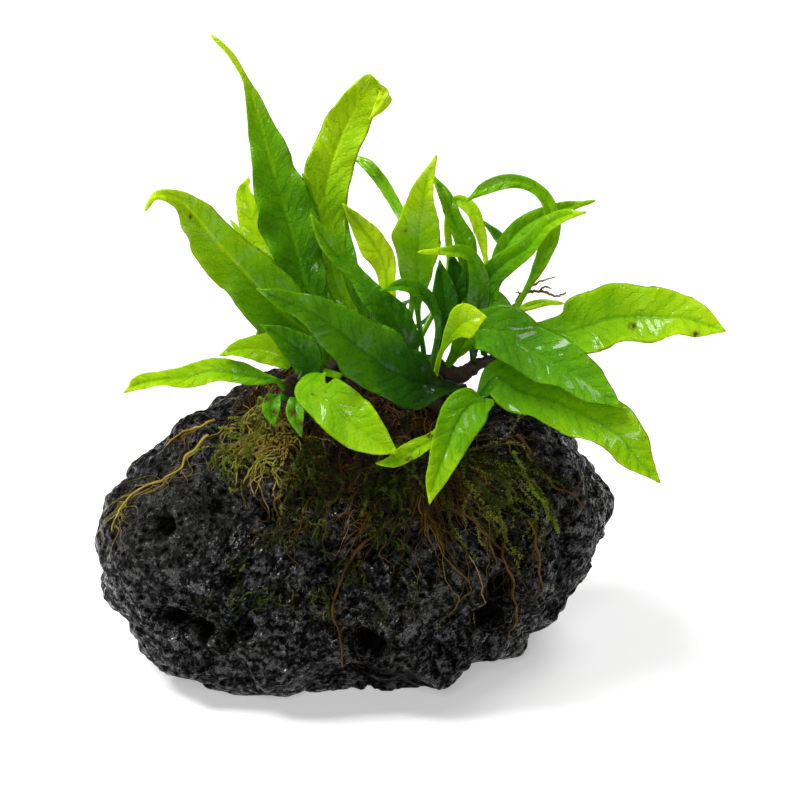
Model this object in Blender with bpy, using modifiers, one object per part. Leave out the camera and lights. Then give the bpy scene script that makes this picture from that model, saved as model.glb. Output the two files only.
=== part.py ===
"""A java fern grown on a lump of lava stone.

Metres, +Z up. The origin is the middle of the flat patch that the stone rests on. X runs from left to
right across the front, Y goes to the back. Lengths below are in millimetres, and MM scales them.
"""

import bmesh
import bpy
import numpy as np
from mathutils import Vector
from mathutils.bvhtree import BVHTree

MM = 0.001
GAP = 0.35

# Stone: about 140 wide, 100 deep and 80 high. Each lobe is an ellipsoid: its centre, then its half sizes.
STONE_CENTRE = (0, 0, 36)
STONE_TOP = 76
STONE_LOBES = (
    ((-6, 4, 35), (54, 43, 40)),
    ((10, -12, 29), (37, 31, 31)),
    ((-23, -12, 25), (32, 31, 28)),
    ((-36, -4, 33), (33, 35, 28)),
    ((38, 10, 42), (25, 32, 28)),
    ((33, 4, 30), (27, 31, 28)),
    ((2, 8, 46), (40, 35, 29)),
    ((-15, 14, 45), (34, 30, 31)),
)
LOBE_SHARPNESS = 24
# Any point this far from the centre lies outside the stone.
OUTSIDE = 200
STONE_SUBDIVISIONS = 5
# Lumps: how far apart they are, how high, and which pattern.
STONE_LUMPS = ((30, 3.0, 1), (15, 2.5, 2), (8, 1.1, 3))
# Cavities: a point near the surface, then the cavity's radius and its depth.
STONE_CAVITIES = (
    ((4, -44, 21), 6, 7),
    ((-53, -27, 50), 5, 5),
    ((-48, -35, 27), 4.5, 5),
    ((-41, -37, 25), 5, 5),
    ((-35, -41, 23), 4, 4),
    ((-40, -19, 57), 4, 3.5),
    ((-39, -25, 54), 4, 3.5),
    ((-24, -34, 56), 4.5, 4.5),
    ((-34, -40, 39), 3.5, 3.5),
    ((-30, -43, 27), 3.5, 3.5),
    ((8, -39, 5), 13, 6),
    ((41, -27, 44), 5, 3.5),
    ((40, -34, 34), 6, 4.5),
    ((38, -36, 26), 6, 4.5),
    ((36, -31, 16), 5, 4),
    ((20, 48, 36), 7, 5),
    ((-30, 46, 26), 6, 5),
    ((60, 30, 46), 5, 4),
    ((-50, 34, 50), 5, 4),
    ((0, 52, 20), 5, 4.5),
    ((45, 38, 28), 5, 4.5),
    ((-62, 12, 40), 5, 4.5),
    ((62, 2, 30), 4.5, 4),
    ((-16, 50, 52), 4.5, 4),
)

# Mat of roots and moss over the stone's top: the way its middle faces, how many degrees it reaches
# down, the waves of its edge as count, degrees and start, and how wide a dip it bridges.
MAT_AXIS = (0.06, -0.24, 1)
MAT_REACH = 43
MAT_EDGE_WAVES = ((2, 5, 2.6), (5, 3, 0.3), (9, 3, 2.7))
MAT_CELLS = 13
MAT_THICKNESS = 1.8
MAT_LIFT = 1.0
MAT_SPAN = 7.5

# Rhizome: the creeping stem, split at its forks. Rows are x, y and the height above the mat.
# SWELL is how much thicker its knots are, SWELLS how many it has, and TIP what is left of its radius.
RHIZOME_RADIUS = 1.9
RHIZOME_SWELL = 0.1
RHIZOME_SWELLS = 4.5
RHIZOME_TIP = 0.5
# How much of the gap a leaf's foot keeps to the rhizome it stands on.
FOOT_GAP = 1.3
RHIZOMES = {
    "rhizome_main": ((-8, -4, 0), (0, 0, 0), (9, 2, 0), (18, 1, 0), (27, 3, 1), (35, 8, 1)),
    "rhizome_left": ((-12, -8, 0), (-15, -13, 0), (-15, -20, 0)),
    "rhizome_front": ((13, -5, 0), (16, -11, 1), (22, -14, 2), (30, -15, 3)),
    "rhizome_back": ((4, 8, 0), (4, 13, 0), (5, 20, 0), (8, 27, 0)),
}
# A dead, leafless sprig that stands up from the main stem's tip. Rows are x, y, z.
SPRIG_RADIUS = 0.5
SPRIG = (
    (40.2, 11.2, 86.8), (40.6, 12.4, 92), (42.2, 13.3, 96.7), (44.8, 14, 100.3), (49.4, 14, 101.2),
    (54.6, 13, 100.1), (56.4, 13, 101)
)
TUBE_STEP = 4.0
TUBE_LIFT = 0.55

# Single roots that cling to the stone and trailing moss strands. Rows are x, y, z near the surface.
ROOT_RADIUS = 0.6
ROOT_TIP = 0.6
ROOTS = {
    "root_far_left": (
        (-40, -5.5, 67), (-42, -7, 65), (-46.5, -8, 60.5), (-49, -10.5, 57.5), (-54.5, -8.5, 54.5),
        (-59, -8.5, 52), (-62.5, -12.5, 50), (-64, -16, 48.5), (-65.5, -20, 45.5)
    ),
    "root_left": ((-39, 3, 68), (-41, 0.5, 67.5), (-45, 1, 66), (-49, 2.5, 63), (-52, 2.5, 60.5)),
    "root_front_left": ((-19.5, -32, 61.5), (-21.5, -31, 57), (-21.5, -33, 54), (-21.5, -34.5, 51)),
    "root_front_left_short": ((-12, -31.5, 60.5), (-13, -33, 58.5), (-14, -34.5, 57), (-14.5, -35.5, 55)),
    "root_centre": (
        (10, -33.5, 55.5), (4.5, -34.5, 50.5), (1, -37.5, 48.5), (-1.5, -37, 44.5), (-4, -38, 40),
        (-6, -40.5, 32.5), (-4.5, -42, 25.5), (-3.5, -40.5, 17), (-3.5, -38, 12)
    ),
    "root_centre_fork": ((3.5, -34, 57.5), (2.5, -35.5, 56), (1.5, -37, 54), (0, -38, 51.5)),
    "root_front_right": (
        (25.5, -24, 54), (29.5, -24.5, 51), (34, -28, 48), (37.5, -25, 42.5), (39.5, -31, 40.5),
        (41, -29, 35), (41.5, -30.5, 30), (42.5, -26, 22), (40.5, -22.5, 15)
    ),
    "root_right": (
        (43, -5, 66.5), (45.5, -5.5, 63), (48.5, -10.5, 59), (51.5, -12, 55.5), (54.5, -11.5, 53),
        (57.5, -10.5, 51), (60.5, -9.5, 47)
    ),
    "root_right_low": (
        (45.5, -21, 49), (47, -22, 44.5), (48, -23.5, 39.5), (48.5, -24.5, 34.5), (50, -22, 28.5)
    ),
    "root_back": ((0, 40, 66), (6, 50, 56), (4, 54, 44), (8, 54, 32)),
    "root_back_left": ((-28, 34, 66), (-36, 38, 54), (-38, 40, 42)),
}
MOSS_RADIUS = 1.0
MOSS_STRANDS = {
    "moss_upper": ((30.5, -14, 58), (33, -17, 56), (35.5, -19.5, 53), (37.5, -20.5, 51.5)),
    "moss_middle": ((37, -13.5, 60), (39, -15.5, 58), (42, -19, 53)),
    "moss_bright": ((41, -9.5, 63.5), (45, -12.5, 58), (49, -16.5, 53), (51.5, -17.5, 47.5), (54, -16, 43)),
}

# Fronds: a closed blade on a round stalk, thickest along its midrib. FOLD is how far the margins lift,
# as a share of the half width.
MIDRIB_THICKNESS = 0.9
STALK_RADIUS = 0.7
STATION_SPACING = 6
FEWEST_STATIONS = 7
FOLD = 0.22
# How many times each ring's turn is averaged with its neighbours', so that rings don't cross in a bend.
EASING = 2
# Each frond: its tone, the ways its upper face looks from foot to tip, and its route from foot to tip as
# x, y, z and half width.
TO_VIEWER = ((0, -1, 0.35),)
HANGING = ((0, 0.6, 0.8), (0, -0.4, 0.9), (0, -1, 0.3))
UPWARD = ((0, -0.8, 0.6),)
BACKWARD = ((0, 0.6, 0.8),)
FRONDS = {
    "tall_left": (
        "leaf_green",
        ((0.1, -1, 0.3), (0.2, -1, 0.3), (0.2, -1, 0.3), (0.1, -1, 0.3), (0.9, -0.5, 0.3)),
        ((-3, 5, 87, 0.8), (-7, 8, 96, 2.7), (-14, 11, 105, 5.7), (-16, 13, 112, 7.2), (-19, 16, 122, 8),
         (-23, 19, 135, 5.8), (-27, 22, 150, 2.8), (-30, 23, 158.5, 0.9), (-34, 24, 165, 1),
         (-39, 25, 170, 0)),
    ),
    "tall_curled": (
        "leaf_green",
        ((0, -1, 0.2), (0, -1, 0.2), (-0.1, -1, 0.2), (-0.1, -1, 0.2), (0, -1, 0.1), (-0.5, 0.3, -0.8)),
        ((4, 12, 88, 0.8), (-2, 17, 95, 2.2), (-7, 22, 104, 5.2), (-9, 26, 116, 6), (-8, 29, 129, 6.1),
         (-4, 33, 140, 5.8), (1, 37, 148, 5.4), (5, 38, 152, 3.8), (8, 35, 151, 2.6), (6, 31, 148, 1.6),
         (3, 28, 145, 0)),
    ),
    "tall_hidden": (
        "leaf_bright",
        ((-0.3, -1, 0.3),),
        ((-1, 9, 88, 0.7), (-5, 15, 101, 2.4), (-9, 20, 116, 3), (-12, 22, 126, 2.6), (-15, 23, 132, 0)),
    ),
    "arching_left": (
        "leaf_green",
        ((-0.3, -0.9, 0.5), (-0.3, -0.8, 0.6), (-0.4, -0.8, 0.5)),
        ((-8, -10, 88, 0.8), (-9, -10, 93, 3), (-12, -9, 97, 6.5), (-18, -9, 102, 7.5), (-24, -10, 109, 7.6),
         (-31, -12, 118, 7), (-36, -15, 125, 6.5), (-41, -18, 133, 4.6), (-46, -21, 139, 2.6),
         (-51, -24, 141, 1.2), (-54, -25, 137, 0)),
    ),
    "front_big": (
        "leaf_dark",
        ((-0.6, 0.1, 0.8), (-0.3, -0.8, 0.6), (-0.1, -0.85, 0.6), (-0.1, -0.85, 0.6), (-0.1, -0.85, 0.6)),
        ((28, -12, 86, 1), (27.5, -18, 86.5, 1.6), (24, -22, 87.5, 4), (17, -25, 90, 7.4), (10, -28, 94, 8.2),
         (3, -30, 100, 8.2), (-3, -32, 106, 7.3), (-9, -35, 112, 5.2), (-15, -37, 116, 3.1),
         (-20, -39, 119, 2), (-25, -41, 122, 0)),
    ),
    "under_big": (
        "leaf_dark",
        UPWARD,
        ((-12, -16, 88, 0.7), (-12, -20, 92, 2.6), (-14, -22, 97, 4.4), (-18, -23, 101, 3.6),
         (-25, -24, 106, 0)),
    ),
    "low_yellow": (
        "leaf_bright",
        ((-0.3, -0.7, 0.7),),
        ((-15, -11, 88, 0.7), (-16, -14, 92, 2.2), (-19, -16, 94, 3.8), (-24, -17, 96, 4.2),
         (-30, -19, 97, 3), (-36, -21, 96, 0)),
    ),
    "long_left": (
        "leaf_bright",
        ((0, -0.6, 0.8),),
        ((-19, -17, 84, 0.7), (-21, -21, 89, 0.9), (-25, -22, 90, 2), (-30, -22, 91, 3.2),
         (-37, -22, 92, 3.6), (-45, -22, 90, 3), (-51, -23, 90, 2.6), (-57, -24, 89, 2), (-61, -25, 87, 0)),
    ),
    "back_pale": (
        "leaf_bright",
        ((-0.3, -1, 0.3), (-0.5, -1, 0.3)),
        ((3, 21, 88, 0.7), (-8, 26, 93, 1.6), (-22, 30, 105, 3.6), (-28, 33, 112, 4), (-30, 35, 118, 3.6),
         (-31, 37, 122, 2.2), (-30, 38, 126, 0)),
    ),
    "back_pale_small": (
        "leaf_green",
        ((-0.4, -1, 0.3),),
        ((5, 30, 87, 0.7), (-12, 34, 90, 1.2), (-24, 38, 99, 1.9), (-31, 43, 105, 1.7), (-36, 48, 110, 0)),
    ),
    "twisted_mid": (
        "leaf_dark",
        ((0, -0.9, 0.5), (0, -0.9, 0.5), (0.5, -0.8, 0.4), (0, -1, 0.3)),
        ((14, -5, 88, 0.8), (13, -9, 96, 3.6), (10, -9, 102, 4.2), (4, -8, 108, 3.2), (0, -6, 113, 2.5),
         (-5, -5, 118, 2.9), (-9, -5, 124, 2), (-12, -6, 130, 0)),
    ),
    "small_centre": (
        "leaf_dark",
        UPWARD,
        ((20, -12, 89, 0.7), (21, -14, 105, 1.2), (18, -16, 111, 1.9), (13, -17, 114, 2), (6, -18, 113, 0)),
    ),
    "yellow_back": (
        "leaf_bright",
        ((-0.3, -1, 0.3),),
        ((8, 5, 88, 0.7), (9, 10, 98, 1.5), (8, 13, 105, 2.6), (7, 14, 110, 3.5), (4, 15, 115, 3.9),
         (1, 16, 119, 3), (-4, 15, 126, 0)),
    ),
    "narrow_back": (
        "leaf_dark",
        ((0, -1, 0.3), (0.3, -1, 0.3), (0.3, -0.9, 0.5), (0, -0.9, 0.5)),
        ((12, 6, 88, 0.7), (15, 15, 101, 0.9), (13, 22, 117, 1.5), (10, 27, 122, 1.7), (6, 32, 127, 1.8),
         (2, 37, 130, 1.5), (-3, 42, 131, 0)),
    ),
    "upright": (
        "leaf_green",
        ((-0.3, -1, 0.35), (-0.2, -1, 0.35)),
        ((18, 0, 90, 0.7), (16, -4, 105, 1.4), (16, -5, 114, 4.5), (16, -7, 122, 6.5), (17, -9, 131, 4.9),
         (18, -11, 139, 2.8), (21, -14, 149, 0)),
    ),
    "narrow_mid": (
        "leaf_green",
        ((0.4, -1, 0.3),),
        ((27, 7, 90, 0.7), (29, 8, 107, 1.8), (29, 10, 116, 3.1), (26, 12, 122, 2.3), (23, 14, 129, 1.9),
         (20, 16, 134, 0)),
    ),
    "drooping": (
        "leaf_green",
        ((0, -1, 0.3), (0, -1, 0.3), (0, -1, 0.3), (0.2, -1, 0.6), (0.4, -0.9, 0.3)),
        ((15.5, 6, 89, 0.7), (25, 18, 107, 1), (25, 20, 121, 1.2), (27, 20, 125, 1.6), (30, 18, 124, 1.8),
         (33, 14, 118, 1.7), (35, 9, 109, 0)),
    ),
    "over_centre": (
        "leaf_dark",
        ((0, -0.9, 0.4), (0, -0.8, 0.6), (0, -0.7, 0.8)),
        ((29, -1, 90, 0.7), (32, -4, 104, 3), (32, -6, 113, 2.6), (29, -9, 120, 2), (24, -13, 122, 1.5),
         (16, -16, 123, 0)),
    ),
    "dark_one": (
        "leaf_dark",
        TO_VIEWER,
        ((22, 1, 90, 0.7), (24, -4, 101, 3), (23, -1, 108, 3), (22, 1, 115, 0)),
    ),
    "dark_two": (
        "leaf_dark",
        ((0.4, -1, 0.3),),
        ((25, 3, 90, 0.7), (25, 4, 101, 2.8), (26, 5, 108, 3), (25, 6, 116, 0)),
    ),
    "reaching_front": (
        "leaf_dark",
        ((-0.2, -1, 0.4), (-0.2, -1, 0.4), (-0.4, -0.9, 0.5)),
        ((33.5, 3, 91, 0.7), (33, 3, 101, 2.4), (35, 1, 109, 3.3), (40, -1, 115, 3.2), (45, -5, 120, 2.6),
         (50, -9, 128, 2.3), (55, -13, 132, 1.6), (60, -16, 134, 0)),
    ),
    "reaching_back": (
        "leaf_green",
        ((-0.3, -1, 0.4),),
        ((37, 11, 91, 0.7), (37, 16, 99, 1.5), (39, 18, 110, 2.5), (43, 21, 115, 2.6), (48, 24, 118, 2.4),
         (54, 26, 120, 2), (65, 29, 122, 0)),
    ),
    "arch_right": (
        "leaf_green",
        ((0.2, -1, 0.2), (0.2, -1, 0.2), (0.2, -1, 0.3), (0, -0.9, 0.5)),
        ((38, 5, 92, 0.7), (42, 3, 99, 0.8), (46, 3, 107, 1), (49, 4, 113, 1.9), (51, 6, 118, 2.6),
         (52, 7, 123, 2.4), (51, 8, 128, 2), (46, 9, 133, 1.7), (40, 9, 134, 2), (34, 9, 132, 1.7),
         (29, 10, 128, 0)),
    ),
    "narrow_right": (
        "leaf_dark",
        ((0.4, -1, 0.3),),
        ((31, 9, 90, 0.7), (37, 26, 97, 1.4), (41, 30, 107, 1.6), (38, 32, 111, 1.5), (34, 33, 115, 0)),
    ),
    "pale_right": (
        "leaf_bright",
        UPWARD,
        ((40, 16, 90, 0.7), (44, 23, 92, 1), (48, 25, 93, 1.4), (52, 27, 93, 1), (57, 29, 92, 0)),
    ),
    "right_upper": (
        "leaf_green",
        ((0.2, -0.8, 0.6),),
        ((27, -6, 89, 0.9), (28, -10, 95, 2.6), (31, -13, 100, 5.2), (38, -17, 101, 7.2), (44, -20, 98, 7.6),
         (50, -24, 96, 7.6), (56, -28, 94, 6.2), (62, -32, 91, 4.6), (69, -35, 87, 0)),
    ),
    "right_lower": (
        "leaf_bright",
        ((0.15, -0.75, 0.65),),
        ((33, -8, 86, 0.9), (37, -14, 87, 4.2), (43, -19, 85, 6.4), (50, -24, 85, 7.6), (56, -28, 84, 8),
         (63, -33, 82, 7.6), (69, -37, 79, 6.2), (73, -40, 75, 4.5), (79, -43, 69, 0)),
    ),
    "right_far": (
        "leaf_bright",
        ((0, -0.75, 0.65),),
        ((40, 9, 91, 0.8), (45, 5, 93, 1), (50, 1, 95, 2.6), (55, -1, 95, 6), (60, -3, 97, 8.4),
         (66, -5, 100, 8.8), (73, -8, 102, 8.2), (80, -11, 103, 7.4), (86, -14, 104, 6), (91, -16, 103, 4.2),
         (97, -19, 102, 0)),
    ),
    "young_bright": (
        "leaf_bright",
        ((0, -0.9, 0.5),),
        ((23, -17, 88, 0.7), (23, -22, 99, 0.9), (26, -25, 105, 2.6), (29, -27, 108, 4.6), (34, -29, 110, 0)),
    ),
    "front_left": (
        "leaf_bright",
        ((0, -0.5, 0.9), (-0.3, -0.7, 0.7), (0, -0.85, 0.5), (0, -0.9, 0.5)),
        ((-4, -14, 87, 0.8), (-5, -23, 91, 1.4), (-10, -30, 94, 3), (-11, -36, 92, 4.6), (-6, -42, 91, 6.2),
         (-1, -45, 87, 6.4), (3, -48, 85, 5.3), (7, -50, 83, 3.4), (11, -51, 81, 0)),
    ),
    "front_centre": (
        "leaf_bright",
        ((0, -0.6, 0.8), (0.1, -0.9, 0.4), (0.1, -1, 0.3)),
        ((33, -22, 82, 0.8), (34, -28, 86, 2.6), (30, -33, 87, 5.2), (26, -40, 84, 5.8), (24, -45, 81, 5),
         (22, -49, 77, 3.6), (20, -52, 72, 2), (19, -54, 68, 0)),
    ),
    "yellowing": (
        "leaf_old",
        ((0, -0.6, 0.8),),
        ((23, -30, 80, 0.7), (19, -39, 79, 2.4), (15, -42, 78, 2.6), (10, -45, 76, 2), (5, -46, 76, 0)),
    ),
    "small_one": (
        "leaf_dark",
        HANGING,
        ((-19, -20, 83, 0.7), (-20, -26, 86.5, 0.9), (-21.5, -29.5, 87, 2), (-22, -32, 85.5, 2.4),
         (-21, -34, 81, 0)),
    ),
    "small_two": (
        "leaf_dark",
        HANGING,
        ((-15, -25, 82, 0.7), (-15, -29, 87, 0.8), (-15.5, -33, 88, 1.8), (-15.5, -36, 86, 2.4),
         (-14, -38.5, 80, 0)),
    ),
    "back_low_left": (
        "leaf_green",
        BACKWARD,
        ((6, 33, 85, 0.7), (-4, 41, 86, 3.6), (-14, 49, 86, 6), (-22, 56, 81, 5), (-30, 62, 70, 0)),
    ),
    "back_low_middle": (
        "leaf_dark",
        BACKWARD,
        ((9, 32, 85, 0.7), (9, 42, 86, 4.4), (8, 53, 83, 6), (5, 62, 75, 4.2), (2, 66, 64, 0)),
    ),
    "back_low_right": (
        "leaf_green",
        BACKWARD,
        ((12, 28, 85, 0.7), (24, 37, 87, 4), (33, 46, 86, 6.2), (40, 54, 80, 4.6), (46, 60, 70, 0)),
    ),
    "back_leaning": (
        "leaf_dark",
        ((0.2, -1, 0.6),),
        ((3, 25, 88, 0.7), (-2, 31, 99, 2.8), (-7, 38, 109, 5), (-10, 46, 117, 4.2), (-13, 54, 121, 0)),
    ),
}

# Each finish: its colour and its roughness.
MATERIALS = {
    "stone": ((0.014, 0.014, 0.016), 0.42),
    "mat": ((0.05, 0.04, 0.012), 0.8),
    "rhizome": ((0.05, 0.028, 0.012), 0.6),
    "root": ((0.11, 0.06, 0.015), 0.7),
    "moss": ((0.04, 0.07, 0.008), 0.8),
    "leaf_dark": ((0.02, 0.11, 0.008), 0.3),
    "leaf_green": ((0.06, 0.24, 0.012), 0.3),
    "leaf_bright": ((0.15, 0.42, 0.02), 0.3),
    "leaf_old": ((0.3, 0.33, 0.03), 0.4),
}


def clear_scene():
    """Removes whatever the file opened with."""
    for thing in list(bpy.data.objects):
        bpy.data.objects.remove(thing, do_unlink=True)


def unit(vectors):
    """The vectors at length one."""
    return vectors / np.linalg.norm(vectors, axis=-1, keepdims=True)


def make_materials():
    """One plain material for each finish."""
    made = {}
    for name, (colour, roughness) in MATERIALS.items():
        material = bpy.data.materials.new(name)
        material.use_nodes = True
        shader = material.node_tree.nodes["Principled BSDF"]
        shader.inputs["Base Color"].default_value = (*colour, 1)
        shader.inputs["Roughness"].default_value = roughness
        shader.inputs["Metallic"].default_value = 0
        made[name] = material
    return made


def add_object(name, data, material, collection):
    """Puts a mesh or a curve into the collection as a named object."""
    data.materials.append(material)
    added = bpy.data.objects.new(name, data)
    collection.objects.link(added)
    return added


def smooth_path(rows, count):
    """Evenly spaced rows along a smooth curve through the given rows; x, y and z come first."""
    rows = np.array(rows, float)
    steps = np.linalg.norm(np.diff(rows[:, :3], axis=0), axis=1)
    knots = np.concatenate([[0], np.cumsum(steps)])
    slopes = np.gradient(rows, knots, axis=0)
    along = np.linspace(0, knots[-1], count)
    start = np.clip(np.searchsorted(knots, along, side="right") - 1, 0, len(knots) - 2)
    span = (knots[start + 1] - knots[start])[:, None]
    share = (along - knots[start])[:, None] / span
    rest = 1 - share
    ends = (1 + 2 * share) * rest**2 * rows[start] + (1 + 2 * rest) * share**2 * rows[start + 1]
    return ends + span * share * rest * (rest * slopes[start] - share * slopes[start + 1])


def path_length(rows):
    """Length of the straight runs between the rows."""
    return np.linalg.norm(np.diff(np.array(rows, float)[:, :3], axis=0), axis=1).sum()


def lump_noise(points, spacing, pattern):
    """Smooth heights from -1 to 1: a number drawn for each corner of a cubic grid, blended between."""
    where = points / spacing + 31.7 * pattern
    corner = np.floor(where).astype(np.int64)
    share = where - corner
    share = share**3 * (share * (share * 6 - 15) + 10)
    height = np.zeros(len(points))
    for offset in np.ndindex(2, 2, 2):
        key = (corner + offset) @ np.array((73856093, 19349663, 83492791)) + pattern
        key = (key ^ (key >> 13)) * 1274126177
        drawn = ((key ^ (key >> 16)) & 0xFFFF) / 32767.5 - 1
        height += drawn * np.prod(np.where(np.array(offset) == 1, share, 1 - share), axis=1)
    return height


def lobe_reach(directions):
    """Distance from the stone's centre to its smooth lobes along each direction."""
    reaches = []
    for middle, half_sizes in STONE_LOBES:
        scaled = directions / half_sizes
        start = (np.array(STONE_CENTRE) - middle) / half_sizes
        squared = (scaled**2).sum(axis=1)
        cross = (scaled * start).sum(axis=1)
        inside = np.maximum(cross**2 - squared * ((start**2).sum() - 1), 0)
        reaches.append(np.maximum((np.sqrt(inside) - cross) / squared, 1))
    return (np.array(reaches) ** LOBE_SHARPNESS).sum(axis=0) ** (1 / LOBE_SHARPNESS)


def stone_points(directions):
    """Points of the stone's surface along each direction: smooth lobes, round lumps with creases
    between them, and bowl-shaped cavities."""
    reach = lobe_reach(directions)
    surface = directions * reach[:, None] + STONE_CENTRE
    for spacing, height, pattern in STONE_LUMPS:
        reach = reach + height * (2 * np.abs(lump_noise(surface, spacing, pattern)) - 0.5)
    for place, radius, depth in STONE_CAVITIES:
        towards = unit(np.array([place], float) - STONE_CENTRE)
        mouth = towards * lobe_reach(towards)[:, None] + STONE_CENTRE
        share = np.clip(1 - (np.linalg.norm(surface - mouth, axis=1) / radius) ** 2, 0, 1)
        reach = reach - depth * share
    return directions * reach[:, None] + STONE_CENTRE


def add_stone(material, collection):
    """A sphere pushed out to the stone's surface and cut flat underneath."""
    shell = bmesh.new()
    bmesh.ops.create_icosphere(shell, subdivisions=STONE_SUBDIVISIONS, radius=1)
    directions = unit(np.array([vertex.co for vertex in shell.verts]))
    for vertex, point in zip(shell.verts, stone_points(directions) * MM):
        vertex.co = point
    everything = shell.verts[:] + shell.edges[:] + shell.faces[:]
    bmesh.ops.bisect_plane(shell, geom=everything, plane_co=(0, 0, 0), plane_no=(0, 0, 1), clear_inner=True)
    rim = [edge for edge in shell.edges if edge.is_boundary]
    bmesh.ops.contextual_create(shell, geom=rim)
    bmesh.ops.triangulate(shell, faces=shell.faces[:])
    tree = BVHTree.FromBMesh(shell)
    mesh = bpy.data.meshes.new("stone")
    shell.to_mesh(mesh)
    shell.free()
    mesh.shade_smooth()
    add_object("stone", mesh, material, collection)
    return tree


def reach_along(tree, way):
    """How far the stone reaches from its centre along one direction."""
    centre = Vector(STONE_CENTRE) * MM
    hit = tree.ray_cast(centre + way * OUTSIDE * MM, -way)[0]
    return (hit - centre).length / MM


def clear_reach(tree, direction, span):
    """How far out the stone reaches along a direction, at the highest place within the span round it."""
    way = Vector(direction).normalized()
    sideways = way.orthogonal().normalized()
    across = way.cross(sideways)
    reach = reach_along(tree, way)
    reaches = [reach]
    for share in (0.5, 1):
        for turn in np.radians(range(0, 360, 60)):
            lean = (sideways * np.cos(turn) + across * np.sin(turn)) * share * span / reach
            reaches.append(reach_along(tree, (way + lean).normalized()))
    return max(reaches)


def mat_reach(turn):
    """Degrees that the mat reaches down from its middle, towards each way round it."""
    waves = sum(size * np.sin(count * turn + start) for count, size, start in MAT_EDGE_WAVES)
    return MAT_REACH + waves


def add_mat(tree, material, collection):
    """A sheet laid over the top of the stone, given its thickness outwards."""
    axis = Vector(MAT_AXIS).normalized()
    right = Vector((1, 0, 0))
    back = axis.cross(right).normalized()
    right = back.cross(axis)
    sheet = bmesh.new()
    bmesh.ops.create_grid(sheet, x_segments=MAT_CELLS, y_segments=MAT_CELLS, size=1)
    for vertex in sheet.verts:
        u, v = vertex.co.xy
        disc = Vector((u * np.sqrt(1 - v * v / 2), v * np.sqrt(1 - u * u / 2)))
        turn = np.arctan2(disc.y, disc.x)
        lean = np.radians(mat_reach(turn)) * disc.length
        way = axis * np.cos(lean) + (right * np.cos(turn) + back * np.sin(turn)) * np.sin(lean)
        vertex.co = (Vector(STONE_CENTRE) + way * (clear_reach(tree, way, MAT_SPAN) + MAT_LIFT)) * MM
    mesh = bpy.data.meshes.new("root_mat")
    sheet.to_mesh(mesh)
    sheet.free()
    mat = add_object("root_mat", mesh, material, collection)
    thicken = mat.modifiers.new("thickness", "SOLIDIFY")
    thicken.thickness = MAT_THICKNESS * MM
    thicken.offset = 1


def add_tube(name, points, radii, material, collection):
    """A round tube through the points, with a radius at each and closed ends."""
    curve = bpy.data.curves.new(name, "CURVE")
    curve.dimensions = "3D"
    curve.bevel_depth = MM
    curve.bevel_resolution = 1
    curve.use_fill_caps = True
    spline = curve.splines.new("POLY")
    spline.points.add(len(points) - 1)
    for knot, point, radius in zip(spline.points, points, radii):
        knot.co = (*(Vector(point) * MM), 1)
        knot.radius = radius
    return add_object(name, curve, material, collection)


def over_stone(tree, points, lift, span):
    """The points moved along their rays from the stone's centre, to stand this far off its surface."""
    ways = unit(points - np.array(STONE_CENTRE))
    return np.array([way * (clear_reach(tree, way, span) + lift) for way in ways]) + STONE_CENTRE


def add_clinging_tubes(tree, routes, radius, material, collection):
    """Tubes that follow the stone closely along each route, thinner towards the far end."""
    for name, route in routes.items():
        count = max(4, round(path_length(route) / TUBE_STEP) + 1)
        points = over_stone(tree, smooth_path(route, count), radius + TUBE_LIFT, 2 * radius)
        add_tube(name, points, np.linspace(radius, ROOT_TIP * radius, count), material, collection)


def add_rhizomes(tree, material, collection):
    """The creeping stems over the mat, swollen where each frond grows and narrowed at the tip. Gives
    back points close together along them."""
    stand = MAT_LIFT + MAT_THICKNESS + GAP + (1 + RHIZOME_SWELL) * RHIZOME_RADIUS
    stems = []
    for name, route in RHIZOMES.items():
        count = max(4, round(path_length(route) / TUBE_STEP) + 1)
        path = smooth_path(route, count)
        ground = np.column_stack([path[:, :2], np.full(count, STONE_TOP)])
        points = over_stone(tree, ground, stand, MAT_SPAN + 2 * RHIZOME_RADIUS)
        points[:, 2] += path[:, 2]
        stems.append(smooth_path(points, 4 * count))
        along = np.linspace(0, 1, count)
        swell = 1 + RHIZOME_SWELL * np.sin(2 * np.pi * RHIZOME_SWELLS * along)
        narrow = np.interp(along, (0, 0.8, 1), (1, 1, RHIZOME_TIP))
        add_tube(name, points, RHIZOME_RADIUS * swell * narrow, material, collection)
    return np.concatenate(stems)


def add_sprig(material, collection):
    """The dead sprig, a bare tube that stands free."""
    count = round(path_length(SPRIG) / TUBE_STEP) + 1
    radii = np.linspace(SPRIG_RADIUS, ROOT_TIP * SPRIG_RADIUS, count)
    add_tube("rhizome_sprig", smooth_path(SPRIG, count), radii, material, collection)


def seated(route, stems):
    """The route with its foot moved to stand on the nearest rhizome, on the side it grows from."""
    near = stems[np.argmin(np.linalg.norm(stems - route[0][:3], axis=1))]
    away = unit(np.array(route[1][:3], float) - near)
    foot = near + away * ((1 + RHIZOME_SWELL) * RHIZOME_RADIUS + FOOT_GAP * GAP)
    return ((*foot, route[0][3]), *route[1:])


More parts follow.
